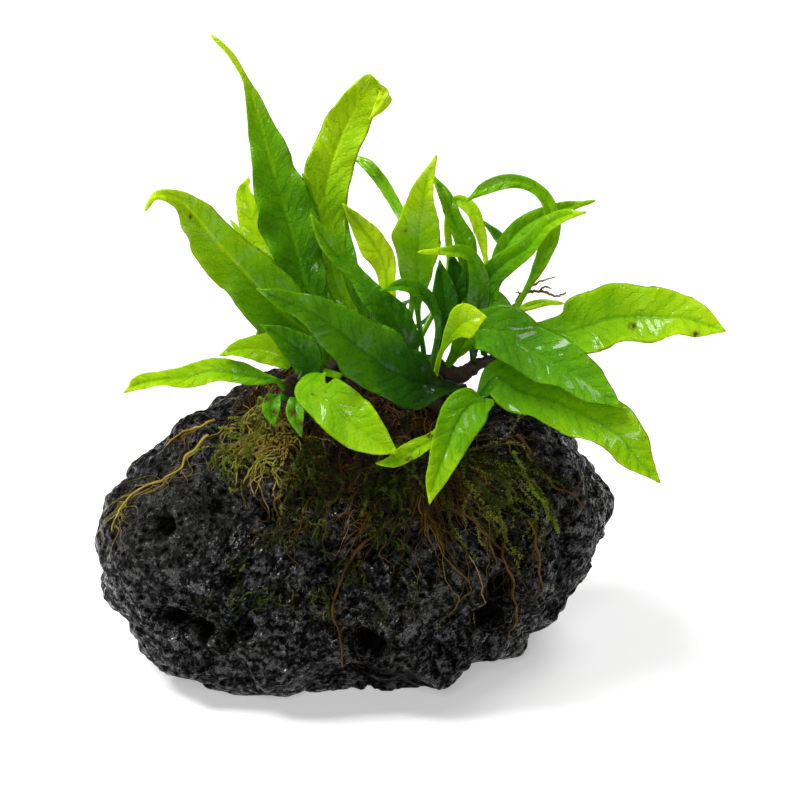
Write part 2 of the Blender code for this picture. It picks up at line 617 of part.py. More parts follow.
def frond_rings(facings, route):
    """Four points round the frond at each station: left margin, midrib top, right margin, midrib
    bottom. The midrib follows the route and the margins lie square to it and to the facing."""
    count = max(FEWEST_STATIONS, round(path_length(route) / STATION_SPACING) + 1)
    path = smooth_path(route, count)
    middle, half = path[:, :3], np.maximum(path[:, 3:], STALK_RADIUS)
    along = unit(np.gradient(middle, axis=0))
    shares = np.linspace(0, 1, count)
    looks = np.array(facings, float)
    marks = np.linspace(0, 1, len(looks))
    facing = np.column_stack([np.interp(shares, marks, looks[:, axis]) for axis in range(3)])
    facing = unit(facing - along * (facing * along).sum(axis=1, keepdims=True))
    side = np.cross(along, facing)
    for _ in range(EASING):
        side[1:-1] = unit(side[:-2] + 2 * side[1:-1] + side[2:])
    flat = np.clip((half - STALK_RADIUS) / STALK_RADIUS, 0, 1)
    thick = STALK_RADIUS + flat * (MIDRIB_THICKNESS / 2 - STALK_RADIUS)
    lift = facing * FOLD * half * flat
    left = middle - side * half + lift
    right = middle + side * half + lift
    return np.stack([left, middle + facing * thick, right, middle - facing * thick], axis=1)


def add_frond(name, facings, route, material, collection):
    """One leaf with its stalk: a loft through its rings, closed at the foot and drawn to the tip. Every
    quad is parted from a margin to the next ring's midrib, so that both sides bend along the same lines."""
    rings = frond_rings(facings, route)
    blade = bmesh.new()
    loops = [[blade.verts.new(point * MM) for point in ring] for ring in rings[:-1]]
    tip = blade.verts.new(np.array(route[-1][:3]) * MM)
    for near, far in zip(loops, loops[1:]):
        for margin, midrib in ((0, 1), (2, 1), (2, 3), (0, 3)):
            blade.faces.new((near[margin], near[midrib], far[midrib]))
            blade.faces.new((near[margin], far[midrib], far[margin]))
    for first in range(4):
        blade.faces.new((loops[-1][first], loops[-1][(first + 1) % 4], tip))
    blade.faces.new(loops[0])
    bmesh.ops.recalc_face_normals(blade, faces=blade.faces[:])
    mesh = bpy.data.meshes.new(name)
    blade.to_mesh(mesh)
    blade.free()
    mesh.shade_smooth()
    add_object(name, mesh, material, collection)


def main():
    clear_scene()
    materials = make_materials()
    fern = bpy.data.collections.new("java_fern_on_stone")
    bpy.context.scene.collection.children.link(fern)
    tree = add_stone(materials["stone"], fern)
    add_mat(tree, materials["mat"], fern)
    stems = add_rhizomes(tree, materials["rhizome"], fern)
    add_sprig(materials["rhizome"], fern)
    add_clinging_tubes(tree, ROOTS, ROOT_RADIUS, materials["root"], fern)
    add_clinging_tubes(tree, MOSS_STRANDS, MOSS_RADIUS, materials["moss"], fern)
    for name, (tone, facings, route) in FRONDS.items():
        add_frond(f"leaf_{name}", facings, seated(route, stems), materials[tone], fern)


main()
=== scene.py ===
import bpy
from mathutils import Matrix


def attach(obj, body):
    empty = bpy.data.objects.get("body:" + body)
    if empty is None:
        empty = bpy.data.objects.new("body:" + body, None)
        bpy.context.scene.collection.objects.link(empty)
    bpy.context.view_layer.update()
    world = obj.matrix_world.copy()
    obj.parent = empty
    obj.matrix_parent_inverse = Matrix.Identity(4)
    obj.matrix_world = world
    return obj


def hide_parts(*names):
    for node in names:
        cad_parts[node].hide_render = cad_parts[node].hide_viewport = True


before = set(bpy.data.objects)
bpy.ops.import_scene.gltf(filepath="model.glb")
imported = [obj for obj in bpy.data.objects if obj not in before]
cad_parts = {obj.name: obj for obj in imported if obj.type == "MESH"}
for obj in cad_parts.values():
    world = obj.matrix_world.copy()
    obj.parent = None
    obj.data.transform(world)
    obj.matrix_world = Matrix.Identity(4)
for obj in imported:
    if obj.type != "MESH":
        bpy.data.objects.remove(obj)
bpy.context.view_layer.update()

import bpy
from mathutils import Vector
import numpy as np

MM = 0.001


def unit(vectors):
    """The vectors at length one."""
    return vectors / np.maximum(np.linalg.norm(vectors, axis=-1, keepdims=True), 1e-9)


def smooth_path(rows, count):
    """Evenly spaced rows along a smooth curve through the given rows. Between two rows it is the cubic
    whose slopes at both ends are the mean slopes there; x, y and z come first."""
    rows = np.array(rows, float)
    steps = np.linalg.norm(np.diff(rows[:, :3], axis=0), axis=1)
    knots = np.concatenate([[0], np.cumsum(steps)])
    slopes = np.gradient(rows, knots, axis=0)
    along = np.linspace(0, knots[-1], count)
    start = np.clip(np.searchsorted(knots, along, side="right") - 1, 0, len(knots) - 2)
    span = (knots[start + 1] - knots[start])[:, None]
    share = (along - knots[start])[:, None] / span
    rest = 1 - share
    ends = (1 + 2 * share) * rest**2 * rows[start] + (1 + 2 * rest) * share**2 * rows[start + 1]
    return ends + span * share * rest * (rest * slopes[start] - share * slopes[start + 1])


def path_length(rows):
    """Length of the straight runs between the rows."""
    return np.linalg.norm(np.diff(np.array(rows, float)[:, :3], axis=0), axis=1).sum()


# %% [markdown]
# ## Drawn numbers
# A stone is rough at every scale. Each scale is a cubic grid of numbers that a hash draws for the grid's
# corners, so the same place always gets the same number and the stone is the same at each run. Blending
# between the corners gives round lumps, and one centre drawn in each cell gives pores.
# %% Lump and pore noise
CELL_PRIMES = np.array((73856093, 19349663, 83492791))
HASH_PRIME = 1274126177
PATTERN_SHIFT, SMALLEST_PORE = 31.7, 0.35


def drawn(cells, pattern):
    """A number from 0 to 1 for each cell of a cubic grid, whose three indices are mixed by primes."""
    key = cells @ CELL_PRIMES + pattern
    key = (key ^ (key >> 13)) * HASH_PRIME
    return ((key ^ (key >> 16)) & 0xFFFF) / 65535


def lump_noise(points, spacing, pattern):
    """Smooth heights from -1 to 1: a number drawn for each corner of a cubic grid, blended between."""
    where = points / spacing + PATTERN_SHIFT * pattern
    corner = np.floor(where).astype(np.int64)
    share = where - corner
    share = share**3 * (share * (share * 6 - 15) + 10)
    height = np.zeros(len(points))
    for offset in np.ndindex(2, 2, 2):
        weight = np.prod(np.where(np.array(offset) == 1, share, 1 - share), axis=1)
        height += (2 * drawn(corner + offset, pattern) - 1) * weight
    return height


def pore_depth(points, spacing, radius, pattern):
    """Depth of the pores at each point, 0 to 1. Each cell of a cubic grid holds one pore with a drawn
    centre and size, and the pore is a bowl with steep walls: twice one minus the squared distance."""
    where = points / spacing
    corner = np.floor(where).astype(np.int64)
    depth = np.zeros(len(points))
    for offset in np.ndindex(3, 3, 3):
        cell = corner + np.array(offset) - 1
        centre = cell + np.stack([drawn(cell, pattern + axis) for axis in range(3)], axis=1)
        size = radius * (SMALLEST_PORE + (1 - SMALLEST_PORE) * drawn(cell, pattern + 7))
        distance = np.linalg.norm(where - centre, axis=1) * spacing
        depth = np.maximum(depth, np.clip(2 * (1 - (distance / size) ** 2), 0, 1))
    return depth


# %% [markdown]
# ## From arrays to meshes
# A piece is a set of points and the faces between them. Long shapes such as roots, stems and leaves all
# share one pattern of faces: rings of points one after another, closed by a fan at the foot and the tip.
# %% Rings, faces and pieces
def ring_faces(tubes, rings, sides):
    """Quads and end triangles of closed tubes. A tube's points are its rings in turn, then the middle of
    its foot and its tip. Point k of a ring joins point k + 1 and the same two of the next ring."""
    side = np.arange(sides)
    after = (side + 1) % sides
    ring = (np.arange(rings - 1) * sides)[:, None]
    quads = np.stack([ring + side, ring + after, ring + sides + after, ring + sides + side], axis=-1)
    last = (rings - 1) * sides
    foot = np.stack([after, side, np.full(sides, rings * sides)], axis=-1)
    tip = np.stack([last + side, last + after, np.full(sides, rings * sides + 1)], axis=-1)
    starts = np.arange(tubes)[:, None, None] * (rings * sides + 2)
    fans = np.concatenate([foot, tip])
    return (quads.reshape(-1, 4) + starts).reshape(-1, 4), (fans + starts).reshape(-1, 3)


def turned(face_sets):
    """The same faces with their corners in the other order, so that they face the other way."""
    return tuple(faces[:, ::-1] for faces in face_sets)


def make_mesh(name, points, face_sets):
    """A smooth mesh from points in millimetres and arrays of faces, one array for each count of corners."""
    corners = np.concatenate([faces.ravel() for faces in face_sets])
    sizes = np.concatenate([np.full(len(faces), faces.shape[1]) for faces in face_sets])
    mesh = bpy.data.meshes.new(name)
    mesh.vertices.add(len(points))
    mesh.vertices.foreach_set("co", (points * MM).astype(np.float32).ravel())
    mesh.loops.add(len(corners))
    mesh.loops.foreach_set("vertex_index", corners.astype(np.int32))
    mesh.polygons.add(len(sizes))
    mesh.polygons.foreach_set("loop_start", np.concatenate([[0], np.cumsum(sizes)[:-1]]).astype(np.int32))
    mesh.update(calc_edges=True)
    mesh.shade_smooth()
    return mesh


def add_piece(name, mesh, material, nodes=(), values=None):
    """Puts a mesh in the scene with its material, hides the solids it stands for, and stores the given
    value of each point under its name."""
    for key, value in (values or {}).items():
        mesh.attributes.new(key, "FLOAT", "POINT").data.foreach_set("value", value.astype(np.float32))
    mesh.materials.append(material)
    piece = bpy.data.objects.new(name, mesh)
    bpy.context.scene.collection.objects.link(piece)
    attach(piece, "root")
    if nodes:
        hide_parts(*nodes)


RING_FACING = np.array((0.3, -0.9, 0.2))


def tubes(paths, radii, sides):
    """Points of round tubes along many paths at once: paths is tubes by rings by three, radii is tubes by
    rings by sides, or by one where each ring is round. A ring is the path's point plus the radius times
    the cosine and sine of two directions square to the path. Each end is closed a radius further on."""
    along = unit(np.gradient(paths, axis=1))
    across = unit(np.cross(along, RING_FACING))
    up = np.cross(across, along)
    turn = np.linspace(0, 2 * np.pi, sides, endpoint=False)[:, None]
    circle = np.cos(turn) * across[:, :, None, :] + np.sin(turn) * up[:, :, None, :]
    rings = paths[:, :, None, :] + radii[..., None] * circle
    count, length = paths.shape[:2]
    reach = radii[:, [0, -1]].mean(axis=2, keepdims=True) * np.array((-1, 1))[:, None]
    ends = paths[:, [0, -1]] + along[:, [0, -1]] * reach
    points = np.concatenate([rings.reshape(count, length * sides, 3), ends], axis=1)
    return points.reshape(-1, 3), turned(ring_faces(count, length, sides))


print("tools ready")

# %% [markdown]
# ## The lava stone
# Lava froze while gas bubbled through it, so the stone is a lump of lumps, scored by creases and eaten by
# pores. Its solid already has the lobes, the finger-wide lumps and the largest hollows. The same formula is
# repeated here, and two finer sizes of wrinkle and two of pore are added to it. Sculpting would give one
# stone by hand; a formula gives every side of it the same care.
# %% The stone's reach in every direction
STONE_CENTRE = np.array((0.0, 0.0, 36.0))
# Each lobe is an ellipsoid: its middle and its half sizes.
STONE_LOBES = (
    ((-6, 4, 35), (54, 43, 40)),
    ((10, -12, 29), (37, 31, 31)),
    ((-23, -12, 25), (32, 31, 28)),
    ((-36, -4, 33), (33, 35, 28)),
    ((38, 10, 42), (25, 32, 28)),
    ((33, 4, 30), (27, 31, 28)),
    ((2, 8, 46), (40, 35, 29)),
    ((-15, 14, 45), (34, 30, 31)),
)
LOBE_SHARPNESS = 24
# Each size of lump: its spacing, height and pattern.
STONE_LUMPS = ((30, 3.0, 1), (15, 2.5, 2), (8, 1.1, 3))
# Each hollow: a place on the ray to its mouth, its radius and its depth.
STONE_CAVITIES = (
    ((4, -44, 21), 6, 7),
    ((-53, -27, 50), 5, 5),
    ((-48, -35, 27), 4.5, 5),
    ((-41, -37, 25), 5, 5),
    ((-35, -41, 23), 4, 4),
    ((-40, -19, 57), 4, 3.5),
    ((-39, -25, 54), 4, 3.5),
    ((-24, -34, 56), 4.5, 4.5),
    ((-34, -40, 39), 3.5, 3.5),
    ((-30, -43, 27), 3.5, 3.5),
    ((8, -39, 5), 13, 6),
    ((41, -27, 44), 5, 3.5),
    ((40, -34, 34), 6, 4.5),
    ((38, -36, 26), 6, 4.5),
    ((36, -31, 16), 5, 4),
    ((20, 48, 36), 7, 5),
    ((-30, 46, 26), 6, 5),
    ((60, 30, 46), 5, 4),
    ((-50, 34, 50), 5, 4),
    ((0, 52, 20), 5, 4.5),
    ((45, 38, 28), 5, 4.5),
    ((-62, 12, 40), 5, 4.5),
    ((62, 2, 30), 4.5, 4),
    ((-16, 50, 52), 4.5, 4),
)


def on_rays(directions, reach):
    """The points at the given reach from the stone's centre, each along its direction."""
    return directions * reach[:, None] + STONE_CENTRE


def lobe_reach(directions):
    """Distance from the stone's centre to its smooth lobes along each direction: the far root of the
    ray's meeting with each ellipsoid, joined by a high power mean so that the lobes blend."""
    reaches = []
    for middle, half_sizes in STONE_LOBES:
        scaled = directions / half_sizes
        start = (STONE_CENTRE - middle) / half_sizes
        squared = (scaled**2).sum(axis=1)
        cross = (scaled * start).sum(axis=1)
        inside = np.maximum(cross**2 - squared * ((start**2).sum() - 1), 0)
        reaches.append(np.maximum((np.sqrt(inside) - cross) / squared, 1))
    return (np.array(reaches) ** LOBE_SHARPNESS).sum(axis=0) ** (1 / LOBE_SHARPNESS)


def folded_lumps(surface, spacing, height, pattern):
    """Round lumps with creases between them: the height times twice the absolute noise, less a half."""
    return height * (2 * np.abs(lump_noise(surface, spacing, pattern)) - 0.5)


def hollow_gap(points, place, radius):
    """Squared distance of each point from the mouth of a hollow, over its squared radius. The mouth is the
    given place, moved along its ray onto the smooth lobes."""
    towards = unit(np.array([place], float) - STONE_CENTRE)
    mouth = on_rays(towards, lobe_reach(towards))
    return (np.linalg.norm(points - mouth, axis=1) / radius) ** 2


def coarse_reach(directions):
    """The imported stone's reach: its lobes, plus the lumps of each size, less one minus the squared
    distance in each hollow."""
    reach = lobe_reach(directions)
    surface = on_rays(directions, reach)
    for lumps in STONE_LUMPS:
        reach = reach + folded_lumps(surface, *lumps)
    for place, radius, depth in STONE_CAVITIES:
        reach = reach - depth * np.clip(1 - hollow_gap(surface, place, radius), 0, 1)
    return reach


# %% The fine wrinkles and pores
# Each size of wrinkle has a spacing, height and pattern, and each size of pore has a radius as well.
WRINKLES = ((5.0, 0.4, 11), (2.5, 0.34, 12))
PORES = ((4.8, 1.35, 0.95, 21), (2.7, 0.8, 0.6, 31))
FINE_INSET = 0.2
DRY_PLACE, DRY_RADIUS, DRY_GAIN = np.array((-52.0, -20.0, 56.0)), 30, 1.3
WORN_AWAY = 0.6


def dryness(surface):
    """How dry and worn the stone is, 1 at its upper left shoulder and 0 past that radius."""
    return np.clip(DRY_GAIN * (1 - np.linalg.norm(surface - DRY_PLACE, axis=1) / DRY_RADIUS), 0, 1)


def fine_reach(directions):
    """The solid's reach plus the same kind of lumps at finer sizes, less the depth of the pores. Both are
    weaker where the stone is worn."""
    reach = coarse_reach(directions) - FINE_INSET
    surface = on_rays(directions, reach)
    fresh = 1 - WORN_AWAY * dryness(surface)
    for spacing, height, pattern in WRINKLES:
        reach = reach + folded_lumps(surface, spacing, fresh * height, pattern)
    for spacing, radius, depth, pattern in PORES:
        reach = reach - fresh * depth * pore_depth(surface, spacing, radius, pattern)
    return reach


# %% The stone's skin
STONE_CELLS = 128
STONE_SPREAD = np.array((1.3, 0.95, 0.62))
# Painted shade: the depth at which a hollow's middle is painted fully black, how far out from the mouth the
# shade reaches, and how dark a pore is painted.
BLACK_DEPTH, SHADE_REACH, PORE_SHADE = 3, 0.75, 0.8
RIM_SPACING, RIM_RAGGED, RIM_PATTERN = 3.5, 0.25, 51


def cube_sphere(cells):
    """Directions and quads of a cube blown up to a ball. Each face of the cube is a grid of tangents of
    even angles, its points are brought to length one, and points that two faces share are joined."""
    even = np.tan(np.linspace(-np.pi / 4, np.pi / 4, cells + 1))
    u, v = (grid.ravel() for grid in np.meshgrid(even, even, indexing="ij"))
    one = np.ones_like(u)
    sides = ((one, u, v), (-one, v, u), (v, one, u), (u, -one, v), (u, v, one), (v, u, -one))
    points = np.concatenate([np.stack(side, axis=1) for side in sides])
    corner = (np.arange(cells)[:, None] * (cells + 1) + np.arange(cells)).ravel()
    quad = np.stack([corner, corner + cells + 1, corner + cells + 2, corner + 1], axis=1)
    quads = np.concatenate([quad + side * (cells + 1) ** 2 for side in range(6)])
    _, first, joined = np.unique(np.round(points, 6), axis=0, return_index=True, return_inverse=True)
    return unit(points[first]), joined.reshape(-1)[quads]


def painted_shade_in_hollows(directions):
    """Painted shade for the hollows and pores: how dark each point is painted by how deep in a hollow or a
    pore it lies, from 0 on the open surface to 1, black, in its middle. It falls with the squared distance
    from a hollow's mouth, is more in deep hollows than in shallow ones, and noise makes its edge ragged."""
    lobes = on_rays(directions, lobe_reach(directions))
    share = np.zeros(len(lobes))
    ragged = RIM_RAGGED * np.abs(lump_noise(lobes, RIM_SPACING, RIM_PATTERN))
    for place, radius, depth in STONE_CAVITIES:
        inside = SHADE_REACH + ragged - hollow_gap(lobes, place, radius)
        share = np.maximum(share, depth / BLACK_DEPTH * inside)
    surface = on_rays(directions, coarse_reach(directions) - FINE_INSET)
    for spacing, radius, _, pattern in PORES:
        share = np.maximum(share, PORE_SHADE * pore_depth(surface, spacing, radius, pattern))
    return np.clip(share, 0, 1)


def stone_skin():
    """Points, quads, dryness and painted shade of the stone. A direction that would reach under the surface
    that the stone rests on stops there, at its height divided by how steeply it falls."""
    directions, quads = cube_sphere(STONE_CELLS)
    directions = unit(directions * STONE_SPREAD)
    fall = np.maximum(-directions[:, 2], 1e-6)
    reach = np.minimum(fine_reach(directions), STONE_CENTRE[2] / fall)
    points = on_rays(directions, reach)
    return points, quads, dryness(points), painted_shade_in_hollows(directions)


stone_points, stone_quads, stone_dry, stone_painted_shade = stone_skin()
print("stone", len(stone_quads) * 2, "triangles,", np.round(np.ptp(stone_points, axis=0), 1), "mm")

# %% [markdown]
# ## Ground for the plant
# Old roots have felted into a mat over the top of the stone, thick in the middle and ragged at its edge. All
# that grows lies on it or on the bare stone, so one function gives the height of that ground. The mat
# bridges the dips under it, like a cloth, so it takes the highest stone within a finger's width. A cloth
# simulation could drape it, but then the roots and the moss would have no formula to lie on.
# %% The mat's form
MAT_AXIS = unit(np.array((0.06, -0.24, 1.0)))
MAT_RIGHT = unit(np.array((1.0, 0, 0)) - MAT_AXIS[0] * MAT_AXIS)
MAT_BACK = np.cross(MAT_AXIS, MAT_RIGHT)
MAT_REACH = 40
# Each wave of the edge: how many go round, how many degrees high, and where it starts.
MAT_EDGE_WAVES = ((2, 5, 2.6), (5, 3, 0.3), (9, 3, 2.7), (23, 1.6, 1.1), (41, 1.1, 0.4))
MAT_LIFT, MAT_THICKNESS, MAT_SPAN, MAT_TAPER, MAT_LEAST = 1.0, 1.8, 7.5, 16, 0.3
MAT_LUMP_SPACING, MAT_GRAIN_SPACING, MAT_GRAIN_HEIGHT = 9, 2.6, 0.7
ASKEW = np.array((0.31, 0.2, -0.93))


def clear_reach(directions, span):
    """How far out the stone reaches at the highest place within the span round each direction: the most
    of thirteen rays, one straight and twelve leant by half the span and by all of it."""
    sideways = unit(np.cross(directions, ASKEW))
    across = np.cross(directions, sideways)
    reach = coarse_reach(directions)
    highest = reach
    for share in (0.5, 1):
        for turn in np.radians(range(0, 360, 60)):
            lean = (sideways * np.cos(turn) + across * np.sin(turn)) * (share * span / reach)[:, None]
            highest = np.maximum(highest, coarse_reach(unit(directions + lean)))
    return highest


def mat_edge(turn):
    """Degrees that the mat reaches down from its middle towards each way round it: a sum of waves."""
    return MAT_REACH + sum(size * np.sin(count * turn + start) for count, size, start in MAT_EDGE_WAVES)


def ground_reach(directions):
    """Reach of the ground: the stone's skin, raised towards the top of the mat by a smooth share that
    grows from 0 at the mat's edge to 1 a few fingers inside it."""
    stone = fine_reach(directions)
    turn = np.arctan2(directions @ MAT_BACK, directions @ MAT_RIGHT)
    lean = np.degrees(np.arccos(np.clip(directions @ MAT_AXIS, -1, 1)))
    share = np.clip((mat_edge(turn) - lean) / MAT_TAPER, 0, 1)
    near = share > 0
    mat = np.zeros(len(directions))
    mat[near] = clear_reach(directions[near], MAT_SPAN) + MAT_LIFT
    surface = on_rays(directions, stone)
    lumps = 0.5 + 0.5 * lump_noise(surface, MAT_LUMP_SPACING, 41)
    mat += MAT_THICKNESS * lumps + MAT_GRAIN_HEIGHT * lump_noise(surface, MAT_GRAIN_SPACING, 42)
    smooth = share**2 * (3 - 2 * share)
    return np.where(near, stone + smooth * np.maximum(mat - stone, MAT_LEAST), stone)


# %% The mat's skin
MAT_TURNS, MAT_LEANS = 288, 64
MAT_SUNK = 1.2


def mat_skin():
    """Points and faces of the mat as a closed lens: rings of even lean round its axis on the ground,
    then rings back underneath, sunk into the stone. The two sides share the ring at the edge."""
    turn = np.linspace(0, 2 * np.pi, MAT_TURNS, endpoint=False)
    share = np.linspace(0, 1, MAT_LEANS + 1)[1:]
    lean = np.radians(share[:, None] * mat_edge(turn))
    around = np.cos(turn)[:, None] * MAT_RIGHT + np.sin(turn)[:, None] * MAT_BACK
    ways = np.cos(lean)[..., None] * MAT_AXIS + np.sin(lean)[..., None] * around
    ways = np.concatenate([ways, ways[-2::-4]]).reshape(-1, 3)
    under = np.arange(len(ways)) >= MAT_LEANS * MAT_TURNS
    reach = np.where(under, fine_reach(ways) - MAT_SUNK, ground_reach(ways))
    rings = len(ways) // MAT_TURNS
    poles = np.stack([MAT_AXIS, MAT_AXIS])
    pole_reach = np.array((ground_reach(poles[:1])[0], fine_reach(poles[:1])[0] - MAT_SUNK))
    points = np.concatenate([on_rays(ways, reach), on_rays(poles, pole_reach)])
    return points, turned(ring_faces(1, rings, MAT_TURNS))


mat_points, mat_faces = mat_skin()
print("mat", len(mat_faces[0]) * 2, "triangles,", np.round(np.ptp(mat_points, axis=0), 1), "mm")

# %% [markdown]
# ## Stems that creep
# The plant grows from creeping stems a few millimetres thick. They lie over the mat, swollen and scaly, and
# every leaf stands on one of them. A curve with a round bevel would give a smooth pipe. Here the radius is
# an array, so it can step up along each scale. The routes are the solids' own, laid over the same ground,
# so the leaves' feet land where the solids' feet are.
# %% The creeping stems
GAP = 0.35
TUBE_STEP, FEWEST_RINGS = 4.0, 4
STONE_TOP = 76
RHIZOME_RADIUS, RHIZOME_SWELL, RHIZOME_SWELLS, RHIZOME_TIP = 1.9, 0.1, 4.5, 0.5
RHIZOMES = {
    "rhizome_main": ((-8, -4, 0), (0, 0, 0), (9, 2, 0), (18, 1, 0), (27, 3, 1), (35, 8, 1)),
    "rhizome_left": ((-12, -8, 0), (-15, -13, 0), (-15, -20, 0)),
    "rhizome_front": ((13, -5, 0), (16, -11, 1), (22, -14, 2), (30, -15, 3)),
    "rhizome_back": ((4, 8, 0), (4, 13, 0), (5, 20, 0), (8, 27, 0)),
}


def over_stone(points, lift, span):
    """The points moved along their rays from the stone's centre to this far off its highest near place."""
    ways = unit(points - STONE_CENTRE)
    return on_rays(ways, clear_reach(ways, span) + lift)


def solid_path(route):
    """The route in the same evenly spaced rows that its solid was made from."""
    return smooth_path(route, max(FEWEST_RINGS, round(path_length(route) / TUBE_STEP) + 1))


def rhizome_route(route):
    """The middle line of a creeping stem: its route laid over the mat, then raised by the given heights."""
    stand = MAT_LIFT + MAT_THICKNESS + GAP + (1 + RHIZOME_SWELL) * RHIZOME_RADIUS
    path = solid_path(route)
    ground = np.column_stack([path[:, :2], np.full(len(path), STONE_TOP)])
    points = over_stone(ground, stand, MAT_SPAN + 2 * RHIZOME_RADIUS)
    points[:, 2] += path[:, 2]
    return points


stems = {name: rhizome_route(route) for name, route in RHIZOMES.items()}
stem_points = np.concatenate([smooth_path(points, 4 * len(points)) for points in stems.values()])
print("stems", {name: round(path_length(points)) for name, points in stems.items()}, "mm long")

# %% Scales and knots on the stems
STEM_SIDES, STEM_STEP = 24, 0.3
STEM_TAPER = (0, 0.03, 0.8, 1), (0.4, 1, 1, RHIZOME_TIP)
SCALE_LENGTH, SCALE_HEIGHT, SCALE_TURNS, SCALE_STAGGER = 1.7, 0.28, 5, 0.3
KNOT_SPACING, KNOT_HEIGHT = 2.2, 0.45


def stem_skin(points):
    """A creeping stem as one tube. Its radius swells in slow waves, steps up along each scale like the
    teeth of a saw whose phase turns with the way round, and is roughened by noise."""
    path = smooth_path(points, round(path_length(points) / STEM_STEP))
    share = np.linspace(0, 1, len(path))
    swell = 1 + RHIZOME_SWELL * np.sin(2 * np.pi * RHIZOME_SWELLS * share)
    narrow = np.interp(share, *STEM_TAPER)
    radii = np.repeat((RHIZOME_RADIUS * swell * narrow)[None, :, None], STEM_SIDES, axis=2)
    rough, _ = tubes(path[None], radii, STEM_SIDES)
    rough = rough[: len(path) * STEM_SIDES]
    side = np.arange(STEM_SIDES)
    phase = path_length(points) * share[:, None] / SCALE_LENGTH + side * SCALE_TURNS / STEM_SIDES
    scales = (phase + SCALE_STAGGER * (side % 2)) % 1
    knots = lump_noise(rough, KNOT_SPACING, 51).reshape(1, len(path), STEM_SIDES)
    relief = SCALE_HEIGHT * scales + KNOT_HEIGHT * knots
    return tubes(path[None], radii + narrow[:, None] * relief, STEM_SIDES)


stem_skins = {name: stem_skin(points) for name, points in stems.items()}
print("stem triangles", sum(len(faces[0]) * 2 for _, faces in stem_skins.values()))

# %% [markdown]
# ## Roots and fibres
# Hundreds of roots finer than a hair hold the plant down. Each is a path that walks over the ground: it
# takes a short step along its heading, drops back to the ground, and turns a little. All the paths take the
# same step at once, as one array, so a thousand roots cost only a dozen steps. Hair curves are the usual
# way, but an exported model loses them, so these become tubes.
# %% Walks over the ground
START_REACH = 60
DRIFT_KEPT, DRIFT_DRAWN = 0.6, 0.8


def walk(starts, headings, lengths, steps, wander, drop, lift, chance):
    """Routes over the ground from the starts. At each step every strand goes on by its length over the
    steps. Its heading turns by a drawn amount that itself changes slowly, is pulled down by the drop and
    is kept square to the ray from the stone's centre. It stands off the ground by its lift times the
    sine of its share of the way."""
    place, heading, routes = starts, headings, []
    drift = chance.normal(size=starts.shape)
    for step in range(steps):
        outward = unit(place - STONE_CENTRE)
        stand = lift * np.sin(np.pi * (0.05 + 0.9 * step / (steps - 1)))
        place = on_rays(outward, ground_reach(outward) + stand)
        routes.append(place)
        drift = DRIFT_KEPT * drift + DRIFT_DRAWN * chance.normal(size=starts.shape)
        heading = heading + wander * drift - drop * np.array((0, 0, 1.0))
        heading = unit(heading - outward * (heading * outward).sum(axis=1, keepdims=True))
        place = place + heading * (lengths / (steps - 1))[:, None]
    return np.stack(routes, axis=1)


def places_round(turns, leans, count, chance):
    """Drawn directions from the stone's centre: a turn round the mat's axis and a lean away from it, in
    degrees, each even between its two limits."""
    turn, lean = (np.radians(chance.uniform(*limits, count)) for limits in (turns, leans))
    around = np.cos(turn)[:, None] * MAT_RIGHT + np.sin(turn)[:, None] * MAT_BACK
    return np.cos(lean)[:, None] * MAT_AXIS + np.sin(lean)[:, None] * around


def grown(make, table, seed):
    """One result for each named row of a table. Each row draws its numbers from a seed of its own."""
    return {
        name: make(*row, np.random.default_rng(seed + order))
        for order, (name, row) in enumerate(table.items())
    }


# %% Felt of fine roots
# Each patch: how many strands, the turns and leans that it covers, then the ranges of length, radius,
# lift and tone, how much they wander and how much they hang. Tone 0 is dark brown, 1 is yellow-green.
FELT = {
    "felt_over_mat": (1500, (0, 360), (2, 38), (5, 16), (0.10, 0.24), (0, 1.2), (0.0, 0.5), 0.50, 0.10),
    "felt_front": (340, (225, 325), (28, 39), (4, 10), (0.08, 0.22), (0, 0.9), (0.0, 0.55), 0.60, 0.30),
    "felt_golden": (260, (168, 222), (25, 44), (5, 15), (0.10, 0.26), (0.1, 0.9), (0.62, 1.0), 0.55, 0.30),
    "felt_right": (300, (300, 360), (34, 48), (6, 16), (0.08, 0.22), (0, 1.0), (0.1, 0.65), 0.50, 0.50),
    "felt_behind": (700, (15, 165), (28, 44), (6, 18), (0.09, 0.22), (0, 1.2), (0.0, 0.5), 0.50, 0.30),
    "felt_trailing": (18, (298, 354), (36, 52), (18, 42), (0.08, 0.22), (0, 0.4), (0.3, 0.8), 0.40, 0.80),
    "felt_runners": (60, (205, 300), (36, 50), (8, 26), (0.06, 0.15), (0.05, 0.4), (0.2, 0.65), 0.60, 0.55),
    "felt_runners_behind": (
        50, (20, 165), (38, 56), (12, 30), (0.06, 0.15), (0.05, 0.4), (0.2, 0.65), 0.60, 0.45,
    ),
}
FELT_STEP, FELT_SEED = 1.25, 60
FELT_FOOT, FELT_TIP, FELT_BLUNTNESS = 0.12, 0.97, 0.4


def felt_routes(count, turns, leans, lengths, radii, lifts, tones, wander, drop, chance):
    """The routes, radii and tones of one patch of strands, each strand's values drawn from the ranges. A
    strand is thickest in its middle: its radius follows a sine, raised to a power, from foot to tip."""
    ways = places_round(turns, leans, count, chance)
    heading = chance.normal(size=ways.shape)
    length, radius, lift, tone = (chance.uniform(*limits, count) for limits in (lengths, radii, lifts, tones))
    steps = round(lengths[1] / FELT_STEP)
    starts = ways * START_REACH + STONE_CENTRE
    routes = walk(starts, unit(heading), length, steps, wander, drop, lift, chance)
    thin = np.sin(np.pi * np.linspace(FELT_FOOT, FELT_TIP, steps)) ** FELT_BLUNTNESS
    return routes, radius[:, None] * thin, tone


felt = grown(felt_routes, FELT, FELT_SEED)
print("felt strands", {name: len(tone) for name, (_, _, tone) in felt.items()})

# %% Single roots and their hairs
ROOT_RADIUS, ROOT_TIP, ROOT_STAND = 0.6, 0.6, 0.7
ROOT_SPACING, ROOT_SIDES, ROOT_SEED = 0.7, 8, 80
